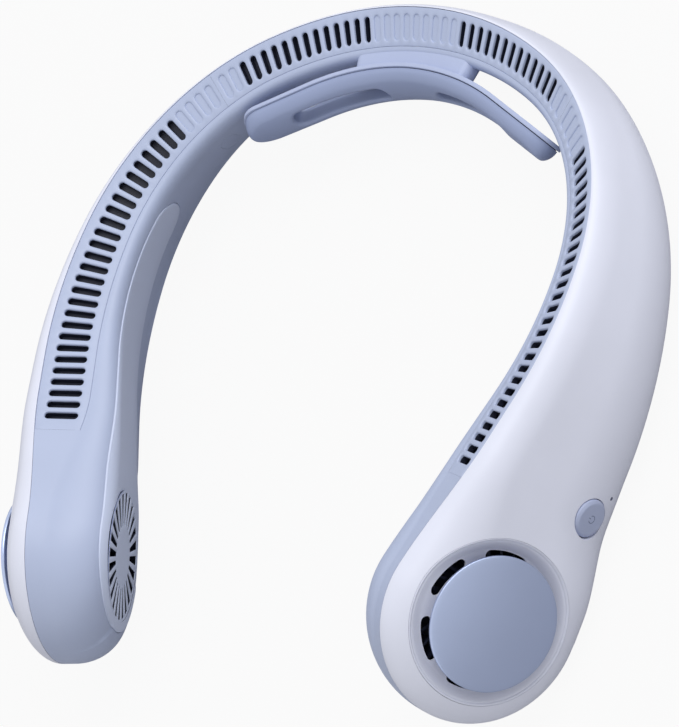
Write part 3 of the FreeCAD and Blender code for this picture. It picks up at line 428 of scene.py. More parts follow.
def drum(radius, reach, steps=96):
    low, high = reach
    return lathe("drum", [(0, low), (radius, low), (radius, high), (0, high)], None, steps)


# Finishes

# Slow drift of the colour, its noise, the spread of the gloss and the strength of the grain
DRIFT, CLOUD, CLOUD_RANGE = 0.03, 28.0, (0.3, 0.7)
GLOSS_SPREAD, GRAIN_STRENGTH = 0.05, 0.25


def feed(tree, socket, value):
    """Sets an input to a value, or links it to another node's output."""
    if isinstance(value, bpy.types.NodeSocket):
        tree.links.new(value, socket)
    else:
        socket.default_value = value


def node(tree, kind, **values):
    made = tree.nodes.new(kind)
    for key, value in values.items():
        feed(tree, made.inputs[key.replace("_", " ")], value)
    return made


def math_node(tree, operation, *values):
    """The result of a Math node."""
    made = tree.nodes.new("ShaderNodeMath")
    made.operation = operation
    for socket, value in zip(made.inputs, values):
        feed(tree, socket, value)
    return made.outputs[0]


def moulded(name, colour, roughness, grain=1400.0, depth=0.00002, metallic=0.0):
    """Moulded plastic: a fine spark-eroded grain, and colour and gloss that drift a little."""
    material = bpy.data.materials.new(name)
    material.use_nodes = True
    tree = material.node_tree
    where = node(tree, "ShaderNodeTexCoord").outputs["Object"]
    cloud = node(tree, "ShaderNodeTexNoise", Vector=where, Scale=CLOUD, Detail=3.0)
    tint = node(tree, "ShaderNodeValToRGB", Fac=cloud.outputs["Fac"])
    for end, share in enumerate((1 - DRIFT, 1 + DRIFT)):
        tint.color_ramp.elements[end].position = CLOUD_RANGE[end]
        tint.color_ramp.elements[end].color = (*[min(c * share, 1.0) for c in colour], 1)
    speck = node(tree, "ShaderNodeTexNoise", Vector=where, Scale=grain, Detail=2.0).outputs["Fac"]
    gloss = node(tree, "ShaderNodeMapRange", Value=speck,
                 To_Min=roughness - GLOSS_SPREAD, To_Max=roughness + GLOSS_SPREAD)
    bump = node(tree, "ShaderNodeBump", Strength=GRAIN_STRENGTH, Distance=depth, Height=speck)
    for label, value in (("Base Color", tint.outputs["Color"]), ("Roughness", gloss.outputs["Result"]),
                         ("Normal", bump.outputs["Normal"]), ("Metallic", metallic)):
        feed(tree, tree.nodes["Principled BSDF"].inputs[label], value)
    return material


def metal(name, colour, roughness):
    """Drawn or turned metal with a finer, shallower grain."""
    return moulded(name, colour, roughness, grain=900.0, depth=0.00001, metallic=1.0)


SHELL = moulded("shell_satin", (0.74, 0.765, 0.89), 0.40)
BLUE = moulded("inner_satin", (0.435, 0.497, 0.68), 0.42)
# The covers and grilles: the inner shell's blue made lighter, partly their own tone and partly painted light
# for the fill between the arms
COVER = moulded("cover_tone_and_painted_light", (0.60, 0.665, 0.85), 0.42)
STRIP = moulded("strip_satin", (0.435, 0.497, 0.68), 0.42)
CAP = moulded("cap_flake", (0.46, 0.535, 0.745), 0.34, metallic=0.85)
DISH = moulded("dish_satin", (0.74, 0.765, 0.89), 0.42)
# Near-black painted shade: the shells' wall insides, the duct sheet, the slots' deep walls, the cover's hole
# wall and the grille's spoke walls
PAINTED_SHADE = moulded("painted_shade_black", (0.012, 0.015, 0.035), 0.55)
WHEEL = moulded("wheel_dark", (0.02, 0.025, 0.05), 0.5)
PAD = moulded("pad_silicone", (0.29, 0.345, 0.53), 0.5, grain=900.0, depth=0.00003)
# Near-black painted shade in the gap between the cushion and its frame
PAD_SEAM = moulded("pad_seam_painted_shade", (0.04, 0.05, 0.10), 0.6)
PAD_FRAME = moulded("pad_frame_satin", (0.42, 0.48, 0.68), 0.4)
# The power sign's dark line: painted shade standing in for the relief of an embossed sign
SYMBOL = moulded("symbol_painted_shade", (0.16, 0.19, 0.30), 0.45)
BUTTON = moulded("button_satin", (0.40, 0.45, 0.63), 0.34)
LIGHT = moulded("light_lens", (0.10, 0.11, 0.18), 0.2)
STEEL = metal("screw_steel", (0.60, 0.61, 0.64), 0.32)
IRON = metal("core_steel", (0.30, 0.30, 0.32), 0.45)
COPPER = metal("coil_copper", (0.72, 0.34, 0.16), 0.35)
BRONZE = metal("sleeve_bronze", (0.55, 0.38, 0.18), 0.4)
FOIL = metal("cell_foil", (0.70, 0.71, 0.74), 0.3)
BOARD = moulded("board_mask", (0.02, 0.12, 0.06), 0.35, grain=2500.0)
BLACK = moulded("switch_black", (0.02, 0.02, 0.022), 0.5)

for name, material in {
        "light_pipe": LIGHT, "case_screws": STEEL, "board_screws": STEEL, "charge_port": STEEL,
        "control_board": BOARD, "tact_switch": BLACK, "screw_plugs": BLUE,
        "motor_bearing": BRONZE, "stator_core": IRON, "motor_coils": COPPER, "battery_cell": FOIL,
        "impeller": WHEEL, "rotor_magnet": IRON, "rotor_shaft": STEEL}.items():
    for side in ("", "left_", "right_"):
        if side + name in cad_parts:
            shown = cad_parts[side + name]
            shown.data.materials.clear()
            shown.data.materials.append(material)
            smooth(shown, 30)


# Shells

ROW_STEP, ROW_CLEAR = 1.6, 0.3
TIP_ROWS, TIP_TURN = 28, math.radians(89.4)
FACE_STEPS, FOOT_STEPS = 56, 4
SHELL_SHARP = 35


def band_run():
    """Distances along the whole band, close together round the tips."""
    count = round(POD_ALONG / ROW_STEP)
    half = [POD_ALONG * i / count for i in range(count + 1)]
    half += [POD_ALONG + POD_RADIUS * math.sin(TIP_TURN * i / TIP_ROWS) for i in range(1, TIP_ROWS + 1)]
    return [-along for along in reversed(half[1:])] + half


STEPS = [math.cos(math.pi * i / FACE_STEPS) for i in range(FACE_STEPS + 1)]


def closed_rows(name, rows, material, inside):
    """A closed piece through rings of equal count, with both ends filled and near-black painted shade on the
    inside.
    """
    points = [point for row in rows for point in row]
    count = len(rows[0])
    faces = grid_faces(len(rows), count, closed=True)
    dark = [i for i in range(len(faces)) if inside <= i % count < inside + FACE_STEPS]
    for first in (0, len(points) - count):
        faces.append(tuple(range(first, first + inside)))
        faces.append((first, *range(first + inside - 1, first + count)))
    return new_piece(name, points, faces, material, 0.000002, SHELL_SHARP, dark)


def wall_row(along, inner):
    """The wall's inside that belongs to a row of its outside, from the foot up to the rim."""
    past = max(abs(along) - POD_ALONG, 0.0) * (POD_RADIUS - WALL) / POD_RADIUS
    spot = math.copysign(min(abs(along), POD_ALONG) + past, along)
    return [place(spot, *face_spot(spot, -step, inner, WALL)) for step in STEPS]


def outer_row(along):
    return [place(along, *face_spot(along, step, False)) for step in STEPS] + wall_row(along, False)


BUTTON_LEVEL, BUTTON_FOOT, BUTTON_HEAD = (face_out(BUTTON_ALONG, up - BUTTON_DOWN, False)
                                          for up in (0, -BUTTON_RADIUS, BUTTON_RADIUS))
BUTTON_LEAN = math.atan((BUTTON_HEAD - BUTTON_FOOT) / (2 * BUTTON_RADIUS))


def button_frame():
    """Axes at the button, with Z out of the sloping face."""
    turn, base = frame_at(BUTTON_ALONG, BUTTON_LEVEL, -BUTTON_DOWN)
    return turn @ Matrix.Rotation(BUTTON_LEAN, 4, "X"), base


def slot_tool(length, width, reach):
    """A prism with round ends, long in Y."""
    return prism("slot_tool", flat_rings(stadium_ring(length, width), reach), None)


def port_tool():
    """The charging socket's hole, square in the sloping underside."""
    out = (face_spot(PORT_ALONG, -1, False)[0] + face_spot(PORT_ALONG, -1, True)[0]) / 2
    turn, base = frame_at(PORT_ALONG, out, PORT_SUNK - depth_at(PORT_ALONG))
    backward, upward, outward = (turn.to_3x3().col[i] for i in range(3))
    slope = math.radians(FLARE)
    down = backward * math.sin(slope) - upward * math.cos(slope)
    turn = Matrix((outward, down.cross(outward), down)).transposed().to_4x4()
    return set_frame(slot_tool(PORT_WIDE, PORT_TALL, PORT_REACH), turn, base)


def make_outer_shell():
    rows = [outer_row(along) for along in band_run()]
    shell = closed_rows("outer_shell_skin", rows, SHELL, len(STEPS))
    radius = DISH_RADIUS + DISH_GAP
    holes = [set_frame(drum(radius, BORE_REACH), *pod_frame(side)) for side in (1, -1)]
    press = drum(BUTTON_RADIUS + BUTTON_GAP, BUTTON_REACH, 64)
    light = drum(LIGHT_RADIUS + LIGHT_GAP, LIGHT_REACH, 24)
    light.data.transform(Matrix.Translation(Vector((LIGHT_BACK, LIGHT_UP, 0)) * MM))
    holes += [set_frame(tool, *button_frame()) for tool in (press, light)]
    settle_on(cut(shell, holes + [port_tool()]), "shell_white", "outer_shell")


def inner_row(along):
    """A ring of the inner shell: the rim edge, the inner face, the foot and the wall's inside."""
    spot = min(abs(along), POD_ALONG)
    outer_top = face_spot(along, 1, False)
    outer_foot = face_spot(along, -1, False)
    face = [face_spot(along, step, True) for step in STEPS]
    if abs(along) < STRIP_END:
        edge = -rim_half(spot) + STRIP_IN_MARGIN - STRIP_GAP
        lead = [on_bevel(spot, edge + across, above) for across, above in RIM_LIP]
        under = on_bevel(spot, edge, -STRIP_THICK - SEAT_DEEP)
    else:
        start = (outer_top[0] - SEAM, outer_top[1])
        lead = [between(start, face[0], share) for share in shares(len(RIM_LIP))]
        under = (start[0], start[1] - STRIP_THICK)
    foot = (outer_foot[0] - SEAM, outer_foot[1])
    tail = [between(face[-1], foot, share) for share in shares(FOOT_STEPS, 1)[1:]]
    row = [place(along, *corner) for corner in lead + face + tail]
    return row + wall_row(along, True) + [place(along, *under)]


def cover_tool(side):
    """The block that a cover takes out of the inner shell."""
    def spot(along, out, up):
        return place(side * along, out, up)
    outline = resample(cover_edge(COVER_GAP), COVER_RING)
    return slab("cover_tool", (outline, [], TOOL_MESH), spot, COVER_CUT, None)


def make_inner_shell():
    run = [along for along in band_run() if abs(abs(along) - STRIP_END) > ROW_CLEAR]
    nudges = (-STRIP_JOINT, STRIP_JOINT)
    ends = [side * (STRIP_END + nudge) for side in (1, -1) for nudge in nudges]
    rows = [inner_row(along) for along in sorted(run + ends)]
    shell = closed_rows("inner_shell_skin", rows, BLUE, len(rows[0]) - 1 - len(STEPS))
    holes = [port_tool()]
    for side in (1, -1):
        holes.append(cover_tool(side))
        plug = slot_tool(PLUG_LONG, PLUG_WIDE, PLUG_REACH)
        holes.append(set_frame(plug, *frame_at(side * PLUG_ALONG, PLUG_OUT, -PLUG_DOWN)))
    settle_on(cut(shell, holes), "shell_blue", "inner_shell")


# Vent strips

SIDE_STEPS = 10
END_STEPS = 10


def stadium_ring(length, width):
    """Points round a slot: a round end, a long side, the other end, the other side."""
    radius, half = width / 2, length / 2 - width / 2
    ring = []
    for way, start in ((1, math.pi), (-1, 0.0)):
        turns = [start + math.pi * i / END_STEPS for i in range(END_STEPS)]
        ring += [round_spot(radius, turn, 0.0, -way * half) for turn in turns]
        ring += [(way * radius, mix(-way * half, way * half, share)) for share in shares(SIDE_STEPS)]
    return ring


def cell_ring(back, ahead):
    """Points round a slot's cell: distances along, and shares of the strip's width."""
    ring = []
    for start, end, side in ((back, ahead, 0), (ahead, back, 1)):
        ring += [(mix(start, end, share), side) for share in shares(END_STEPS)]
        ring += [(end, mix(side, 1 - side, share)) for share in shares(SIDE_STEPS)]
    return ring


def strip_limits(along):
    return -rim_half(abs(along)) + STRIP_IN_MARGIN, rim_half(abs(along)) - STRIP_OUT_MARGIN


def strip_side(points, faces, run):
    """The rounded long edges of a strip, down to its seat."""
    for end, way in ((0, -1), (1, 1)):
        rows = []
        for along in run:
            edge = strip_limits(along)[end]
            middle = EDGE_ROUND * ROUND_SHARE
            rows.append([(along, edge - way * EDGE_ROUND, 0), (along, edge - way * middle, -middle),
                         (along, edge, -EDGE_ROUND), (along, edge, -STRIP_THICK)])
        add_rings(points, faces, rows, closed=False)


def make_strip(name, start, end, numbers):
    """A strip of slot cells laid flat, then wrapped on the rim."""
    slots = sorted((side * slot_along(number), number) for number, side in numbers)
    bounds = [start] + [(a[0] + b[0]) / 2 for a, b in zip(slots, slots[1:])] + [end]
    points, faces, run, dark = [], [], [], []
    for (along, number), back, ahead in zip(slots, bounds, bounds[1:]):
        length = mix(SLOT_BACK, SLOT_FRONT, ease(abs(along), STRIP_JOIN, FIRST_SLOT))
        border = []
        for x, share in cell_ring(back, ahead):
            low, high = strip_limits(x)
            border.append((x, mix(low + EDGE_ROUND, high - EDGE_ROUND, share), 0))
        blind = number < BLIND_MIDDLE or BLIND_JOIN[0] <= number <= BLIND_JOIN[1]
        # Below SLOT_LIT a see-through slot's walls are near black: painted shade deep in the slot
        walls = [(0, -BLIND_DEEP)] if blind else [(0, -SLOT_LIT), (0, -STRIP_THICK - SLOT_BELOW)]
        rings = [border]
        for grow, height in SLOT_MOUTH + walls:
            ring = stadium_ring(length + 2 * grow, SLOT_WIDTH + 2 * grow)
            rings.append([(along + x, y, height) for x, y in ring])
        add_rings(points, faces, rings, blind)
        if not blind:
            dark += range(len(faces) - len(border), len(faces))
        run += [mix(back, ahead, share) for share in shares(END_STEPS)]
    strip_side(points, faces, run + [end])
    wrapped = [place(along, *on_bevel(abs(along), across, above)) for along, across, above in points]
    settle_on(new_piece(name + "_skin", wrapped, faces, STRIP, 0.00003, 50, dark), "strip_blue", name)


def make_strips():
    back = [(number, side) for number in range(SLOTS_BACK) for side in (1, -1) if number or side > 0]
    make_strip("back_vent_strip", -STRIP_JOIN + STRIP_JOINT, STRIP_JOIN - STRIP_JOINT, back)
    for side, name in ((1, "left_vent_strip"), (-1, "right_vent_strip")):
        ends = sorted((side * (STRIP_JOIN + STRIP_JOINT), side * (STRIP_END - STRIP_JOINT)))
        make_strip(name, *ends, [(number, side) for number in range(SLOTS_BACK, SLOT_COUNT)])


def make_duct():
    """A near-black open sheet under the slots: painted shade for the dark inside that shows through them."""
    points, faces, rows = [], [], []
    for along in [along for along in band_run() if abs(along) < STRIP_END - 1]:
        near = DUCT_MARGIN - rim_half(abs(along))
        far = -near - DUCT_SHIFT
        spots = [(near, DUCT_TOP), (near + DUCT_SLOPE, DUCT_FLOOR),
                 (far - DUCT_SLOPE, DUCT_FLOOR), (far, DUCT_TOP)]
        rows.append([place(along, *on_bevel(abs(along), *spot)) for spot in spots])
    add_rings(points, faces, rows, closed=False)
    settle_on(new_piece("air_duct_shade_sheet", points, faces, PAINTED_SHADE, WELD), "wheel_dark")


# Inner covers

COVER_RING = 264
COVER_ROWS = 56
EDGE_STEPS, END_TURN_STEPS = 60, 24


def cover_edge(grow=0.0):
    """The cover's outline in distances along and up: a panel that ends round the pod."""
    radius = COVER_RADIUS + grow
    swing = [math.pi / 2 - math.pi * i / EDGE_STEPS for i in range(EDGE_STEPS + 1)]
    outline = [round_spot(radius, turn, POD_ALONG, -POD_DROP) for turn in swing]

    def limits(along):
        top = -mix(COVER_TOP, POD_DROP - COVER_RADIUS, ease(along, COVER_START, POD_ALONG)) + grow
        low = min(-depth_at(along) + COVER_LOW, top - COVER_END_ROUND) - grow
        return top, low
    start = COVER_START - grow + COVER_END_ROUND
    run = [mix(POD_ALONG, start, share) for share in shares(EDGE_STEPS, 1)[1:]]
    outline += [(along, limits(along)[1]) for along in run]
    top, low = limits(start)
    for turn in [math.pi * i / END_TURN_STEPS for i in range(1, END_TURN_STEPS)]:
        outline.append((start - COVER_END_ROUND * math.sin(turn),
                        (top + low) / 2 - (top - low) / 2 * math.cos(turn)))
    outline += [(along, limits(along)[0]) for along in reversed(run)]
    return outline


def resample(loop, count):
    """Evenly spaced points round a closed outline."""
    closed = loop + [loop[0]]
    lengths = [0.0]
    for a, b in zip(closed, closed[1:]):
        lengths.append(lengths[-1] + math.hypot(b[0] - a[0], b[1] - a[1]))
    spots, j = [], 0
    for i in range(count):
        target = lengths[-1] * i / count
        while lengths[j + 1] < target:
            j += 1
        share = (target - lengths[j]) / max(lengths[j + 1] - lengths[j], 1e-9)
        spots.append(between(closed[j], closed[j + 1], share))
    return spots


def make_cover(side, name):
    """A panel with a rounded edge, from the grille's hole outwards."""
    edge = resample(cover_edge(), COVER_RING)
    inset = resample(cover_edge(-COVER_ROUND), COVER_RING)
    turns = [math.atan2(up + POD_DROP, along - POD_ALONG) for along, up in edge]
    hole = [round_spot(GRILLE_OUTER + GRILLE_SEAT, turn, POD_ALONG, -POD_DROP) for turn in turns]
    loops = [(hole, COVER_BACK)]
    for share in shares(COVER_ROWS):
        loops.append(([between(h, e, share) for h, e in zip(hole, edge)], COVER_PROUD))
    bend = [between(a, e, 0.7) for a, e in zip(inset, edge)]
    loops += [(inset, COVER_PROUD), (bend, COVER_PROUD - COVER_BEND),
              (edge, COVER_PROUD - COVER_ROUND), (edge, COVER_BACK)]
    points = [place(side * along, face_out(along, up, True) - proud, up)
              for loop, proud in loops for along, up in loop]
    faces = grid_faces(len(loops), COVER_RING, closed=True)
    # The first band of faces, the wall of the grille's hole, is near-black painted shade
    cover = new_piece(name + "_skin", points, faces, COVER, WELD, dark=range(COVER_RING))
    settle_on(cover, "shell_blue", name)


def grille_tree():
    """Copies of a spoke turned about Z, from a named count and finish."""
    tree = bpy.data.node_groups.new("grille_spokes", "GeometryNodeTree")
    for label, way, kind in (("Geometry", "OUTPUT", "Geometry"), ("Spoke", "INPUT", "Geometry"),
                             ("Count", "INPUT", "Int"), ("Finish", "INPUT", "Material")):
        tree.interface.new_socket(label, in_out=way, socket_type="NodeSocket" + kind)
    given = node(tree, "NodeGroupInput").outputs
    line = node(tree, "GeometryNodeMeshLine", Count=given["Count"], Offset=(0, 0, 0))
    index = node(tree, "GeometryNodeInputIndex").outputs["Index"]
    share = math_node(tree, "DIVIDE", index, given["Count"])
    spin = node(tree, "ShaderNodeCombineXYZ", Z=math_node(tree, "MULTIPLY", share, 2 * math.pi))
    copies = node(tree, "GeometryNodeInstanceOnPoints", Points=line.outputs["Mesh"],
                  Instance=given["Spoke"], Rotation=spin.outputs["Vector"])
    real = node(tree, "GeometryNodeRealizeInstances", Geometry=copies.outputs["Instances"])
    paint = node(tree, "GeometryNodeSetMaterial", Geometry=real.outputs["Geometry"], Material=given["Finish"])
    node(tree, "NodeGroupOutput", Geometry=paint.outputs["Geometry"])
    return tree


SPIN_TREE = grille_tree()


def spun(piece, count, material):
    """Copies of a piece's mesh turned about Z, as one plain mesh."""
    work = piece.modifiers.new("spin", "NODES")
    work.node_group = SPIN_TREE
    wanted = {"Count": count, "Finish": material}
    for item in SPIN_TREE.interface.items_tree:
        if item.name in wanted:
            work[item.identifier] = wanted[item.name]
    return apply_modifiers(piece)


def block(name, outline, low, high, edge, material):
    """A flat plate with a softened top edge, from an outline in X and Y."""
    centre = Vector((sum(p[0] for p in outline), sum(p[1] for p in outline))) / len(outline)
    middle = edge * ROUND_SHARE
    rings = []
    for height, pull in ((low, 0), (high - edge, 0), (high - middle, middle), (high, edge)):
        aways = [Vector(spot) - centre for spot in outline]
        spots = [centre + away * (1 - pull / max(away.length, NEAR_ZERO)) for away in aways]
        rings += flat_rings(spots, (height,))
    return prism(name, rings, material)


def make_grille(side, name):
    """Spokes between the wedge slots, a dished hub and a rim, on the slanted inner face."""
    gap = 2 * math.pi / GRILLE_COUNT
    wide = gap * GRILLE_OUTER - GRILLE_WIDE
    narrow = gap * GRILLE_INNER - GRILLE_NARROW
    inner, outer = GRILLE_INNER - SPOKE_LAP, GRILLE_OUTER + SPOKE_LAP
    edge = [(inner, narrow / 2), (mix(inner, outer, 0.5), (narrow + wide) / 4), (outer, wide / 2)]
    outline = [(x, -y) for x, y in edge] + edge[::-1]
    slim = [(x, y * SPOKE_WALL) for x, y in outline]
    spokes = block(name, outline, -GRILLE_THICK, 0, SPOKE_ROUND, COVER)
    spun(spokes, GRILLE_COUNT, COVER)
    # The spokes' side walls below their tops are near black: painted shade in the wedge slots
    walls = block(name + "_walls", slim, -GRILLE_DEEP, -GRILLE_THICK, WALL_ROUND, PAINTED_SHADE)
    spun(walls, GRILLE_COUNT, PAINTED_SHADE)
    profile = [(0, -GRILLE_THICK), (GRILLE_INNER, -GRILLE_THICK), (GRILLE_INNER, 0),
               (GRILLE_INNER - HUB_RIM, 0), (0, -HUB_DIP)]
    hub = lathe(name + "_hub", rounded(profile, GRILLE_ROUND), COVER, 72)
    rim_end = GRILLE_OUTER + GRILLE_RING
    profile = [(rim_end, -GRILLE_THICK), (GRILLE_OUTER, -GRILLE_THICK), (GRILLE_OUTER, 0), (rim_end, 0)]
    ring = lathe(name + "_ring", rounded(profile, GRILLE_ROUND), COVER, 96)
    middle, _, level, _, taper = face_of(POD_ALONG, True, 0.0)[1:]
    centre = level + taper * (POD_DROP + middle) - COVER_PROUD
    base = place(side * POD_ALONG, centre, -POD_DROP)
    normal = (place(side * POD_ALONG, centre - 1, -POD_DROP - taper) - base).normalized()
    upward = (place(side * POD_ALONG, centre - taper, -POD_DROP + 1) - base).normalized()
    upward = (upward - normal * upward.dot(normal)).normalized()
    turn = Matrix((upward.cross(normal), upward, normal)).transposed().to_4x4()
    for piece in (spokes, walls, hub, ring):
        set_frame(piece, turn, base)
        settle_on(piece, "shell_blue")


# Dishes and caps

DISH_FACE = min(face_out(*round_spot(DISH_RADIUS, math.pi * i / 12, POD_ALONG, -POD_DROP), False)
                for i in range(24))
FLOOR = DISH_FACE - DISH_SINK
DISH_FLAT = ARC_OUTER + ARC_MARGIN


def arc_tool(middle):
    """An arc slot with round ends."""
    half = math.radians(ARC_SPAN / 2)
    radius, reach = (ARC_INNER + ARC_OUTER) / 2, (ARC_OUTER - ARC_INNER) / 2
    outline = []
    for way, start in ((1, 0.0), (-1, math.pi)):
        turns = [middle + way * half * (i / 8 - 1) for i in range(17)]
        outline += [round_spot(radius + way * reach, turn) for turn in turns]
        end = middle + way * half
        turns = [end + start + math.pi * i / 10 for i in range(1, 10)]
        outline += [round_spot(reach, turn, *round_spot(radius, end)) for turn in turns]
    return prism("arc_tool", flat_rings(outline, (FLOOR - ARC_BELOW, DISH_FACE + ARC_ABOVE)), None)


def bank_lip(bowl, side):
    """Lifts the lip to the pod's face all the way round."""
    for vertex in bowl.data.vertices:
        x, y, height = vertex.co / MM
        radius = math.hypot(x, y)
        if radius > DISH_FLAT and height > FLOOR - DISH_FLOOR / 2:
            reach = DISH_RADIUS / radius
            level = face_out(POD_ALONG - side * x * reach, y * reach - POD_DROP, False)
            share = (radius - DISH_FLAT) / (DISH_RADIUS - DISH_FLAT)
            vertex.co.z += (level - DISH_FACE) * share * MM


def make_dish(side, name):
    """A shallow bowl whose lip lies flush in the pod, with arc slots in its floor."""
    low, high, inner = FLOOR - DISH_FLOOR, DISH_FACE + LIP_RISE, DISH_RADIUS - LIP_WIDE
    slope = []
    for share in shares(DISH_STEPS, 1)[1:]:
        fall = math.sin(math.pi / 2 * share) ** DISH_CURVE
        slope.append((mix(inner, DISH_FLAT, share), mix(DISH_FACE, FLOOR, fall)))
    lip = rounded([(0, low), (DISH_RADIUS, low), (DISH_RADIUS, high), (DISH_RADIUS - LIP_TOP, high),
                   (inner, DISH_FACE - LIP_FALL)], LIP_ROUND)
    bowl = lathe(name + "_skin", lip + slope + [(0, FLOOR)], DISH, 160)
    turns = [2 * math.pi * i / ARC_COUNT + side * math.radians(ARC_TURN) for i in range(ARC_COUNT)]
    cut(bowl, [arc_tool(turn) for turn in turns])
    tidy_mesh(bowl, FINE_WELD, 30)
    bank_lip(bowl, side)
    set_frame(bowl, *pod_frame(side))
    settle_on(bowl, "shell_white", name)


def make_cap(side, name):
    """A slightly domed disc on a stem."""
    face = POD_OUT + CAP_STAND
    back = face - CAP_THICK
    runs = [(CAP_RADIUS - CAP_EDGE) * (1 - share) for share in shares(CAP_STEPS, 1)]
    dome = [(run, face + mix(CAP_RISE, -CAP_FALL, (run / CAP_RADIUS) ** 2)) for run in runs]
    profile = [(0, FLOOR), (CAP_STEM, FLOOR), (CAP_STEM, back), (CAP_RADIUS, back),
               (CAP_RADIUS, face - CAP_FALL - CAP_SIDE), dome[0]]
    cap = lathe(name + "_skin", rounded(profile, CAP_EDGE, 5) + dome[1:], CAP, 160)
    set_frame(cap, *pod_frame(side))
    settle_on(cap, "cap_blue", name)


# Button, symbol and light

def make_button():
    """A round button with a chamfered edge and a power sign, on the sloping face; the sign's dark line is
    painted shade of an embossed sign.
    """
    radius, top = BUTTON_RADIUS, BUTTON_PROUD
    profile = [(0, -BUTTON_DEEP), (radius, -BUTTON_DEEP), (radius, top - BUTTON_FALL),
               (radius - BUTTON_EDGE, top), (0, top)]
    button = lathe("power_button_skin", rounded(profile, BUTTON_ROUND), BUTTON)
    set_frame(button, *button_frame())
    settle_on(button, "button_white", "power_button", body="power_button")
    half, (low, high) = SIGN_LINE / 2, SIGN_BAR
    turns = [mix(*map(math.radians, SIGN_ARC), share) for share in shares(SIGN_STEPS, 1)]
    inner, outer = ([round_spot(r, turn) for turn in turns] for r in (SIGN_RADIUS - half, SIGN_RADIUS + half))
    bar = [(-half, low), (half, low), (half, high), (-half, high)]
    for name, outline in (("power_ring", inner + outer[::-1]), ("power_bar", bar)):
        mark = prism(name, flat_rings(outline, [top + level for level in SIGN_LEVELS]), SYMBOL)
        set_frame(mark, *button_frame())
        settle_on(mark, "shell_blue", body="power_button")


# Neck pad

PAD_BOW = PAD_RADIUS * math.radians(PAD_TURN)
PAD_LENGTH = PAD_BOW + PAD_WING


def pad_place(along, ahead, up):
    """A spot of the pad: along its bow, ahead of its seam towards the neck, and up."""
    turn = min(abs(along), PAD_BOW) / PAD_RADIUS
    wing = max(abs(along) - PAD_BOW, 0.0)
    radius = PAD_RADIUS - ahead
    x = radius * math.sin(turn) + wing * math.cos(turn)
    y = -PAD_SEAT - PAD_RADIUS + radius * math.cos(turn) - wing * math.sin(turn)
    return stand(math.copysign(x, along), y, up)


def pad_edge(grow=0.0):
    """The pad's outline in distances along and up, with rounded ends."""
    length = PAD_LENGTH + grow
    upper = []
    for degree in range(181):
        along = -length * math.cos(math.pi * degree / 180)
        half = mix(PAD_HALF, PAD_TIP_HALF, abs(along) / PAD_LENGTH) + grow
        left = length - abs(along)
        if left < PAD_END_ROUND:
            half *= math.sqrt(max(1 - (1 - left / PAD_END_ROUND) ** 2, 0.0))
        upper.append((along, half))
    return resample(upper + [(along, -half) for along, half in upper[-2:0:-1]], PAD_RING)


def slot_edge(side, grow):
    """The outline of one of the pad's slots."""
    centre = (PAD_SLOT_START + PAD_SLOT_END) / 2
    ring = stadium_ring(PAD_SLOT_END - PAD_SLOT_START + 2 * grow, 2 * PAD_SLOT_HALF + 2 * grow)
    return resample([(side * centre + y, x) for x, y in ring], PAD_SLOT_RING)


def filled(outline, holes, step):
    """A fine triangle sheet between an outline and its holes, as flat points and faces."""
    work = bmesh.new()
    for loop in [outline] + holes:
        verts = [work.verts.new((x, y, 0)) for x, y in loop]
        for a, b in zip(verts, verts[1:] + verts[:1]):
            work.edges.new((a, b))
    bmesh.ops.triangle_fill(work, use_beauty=True, use_dissolve=False, edges=work.edges[:])
    for _ in range(6):
        long_edges = [e for e in work.edges if e.calc_length() > step and not e.is_boundary]
        if not long_edges:
            break
        bmesh.ops.subdivide_edges(work, edges=long_edges, cuts=1)
        bmesh.ops.triangulate(work, faces=work.faces[:])
        inner_edges = [e for e in work.edges if not e.is_boundary]
        bmesh.ops.beautify_fill(work, faces=work.faces[:], edges=inner_edges)
    work.verts.index_update()
    points = [(v.co.x, v.co.y) for v in work.verts]
    faces = [tuple(v.index for v in f.verts) for f in work.faces]
    work.free()
    return points, faces


def slab(name, sheet, spot, levels, material, sharp=40.0):
    """A closed plate between two levels, from a sheet's outline, holes and mesh size."""
    flat, faces = filled(*sheet)
    count = len(flat)
    points = [spot(along, level, up) for level in levels for along, up in flat]
    edges = {(a, b) for face in faces for a, b in zip(face, face[1:] + face[:1])}
    walls = [(b, a, count + a, count + b) for a, b in edges if (b, a) not in edges]
    faces = faces + [tuple(count + i for i in reversed(face)) for face in faces] + walls
    return new_piece(name, points, faces, material, sharp=sharp)


def pad_spot(along, ahead, up):
    return pad_place(along, ahead, up - PAD_MIDDLE)


def pad_layer(name, grow, slot_grow, levels, material):
    """A flat closed layer of the pad, with walls round the outline and slots."""
    sheet = (pad_edge(grow), [slot_edge(side, slot_grow) for side in (1, -1)], LAYER_MESH)
    return slab(name, sheet, pad_spot, levels, material, sharp=60)


def soften(piece, width):
    """Rounds off the sharp edges of a closed piece."""
    edge = piece.modifiers.new("edge", "BEVEL")
    edge.width = width * MM
    edge.segments = 3
    edge.limit_method = "ANGLE"
    edge.angle_limit = math.radians(60)
    return smooth(apply_modifiers(piece), 50)


def crown_at(up):
    return mix(CUSHION_EDGE, CUSHION_CROWN, max(1 - (up / PAD_HALF) ** 2, 0.0))


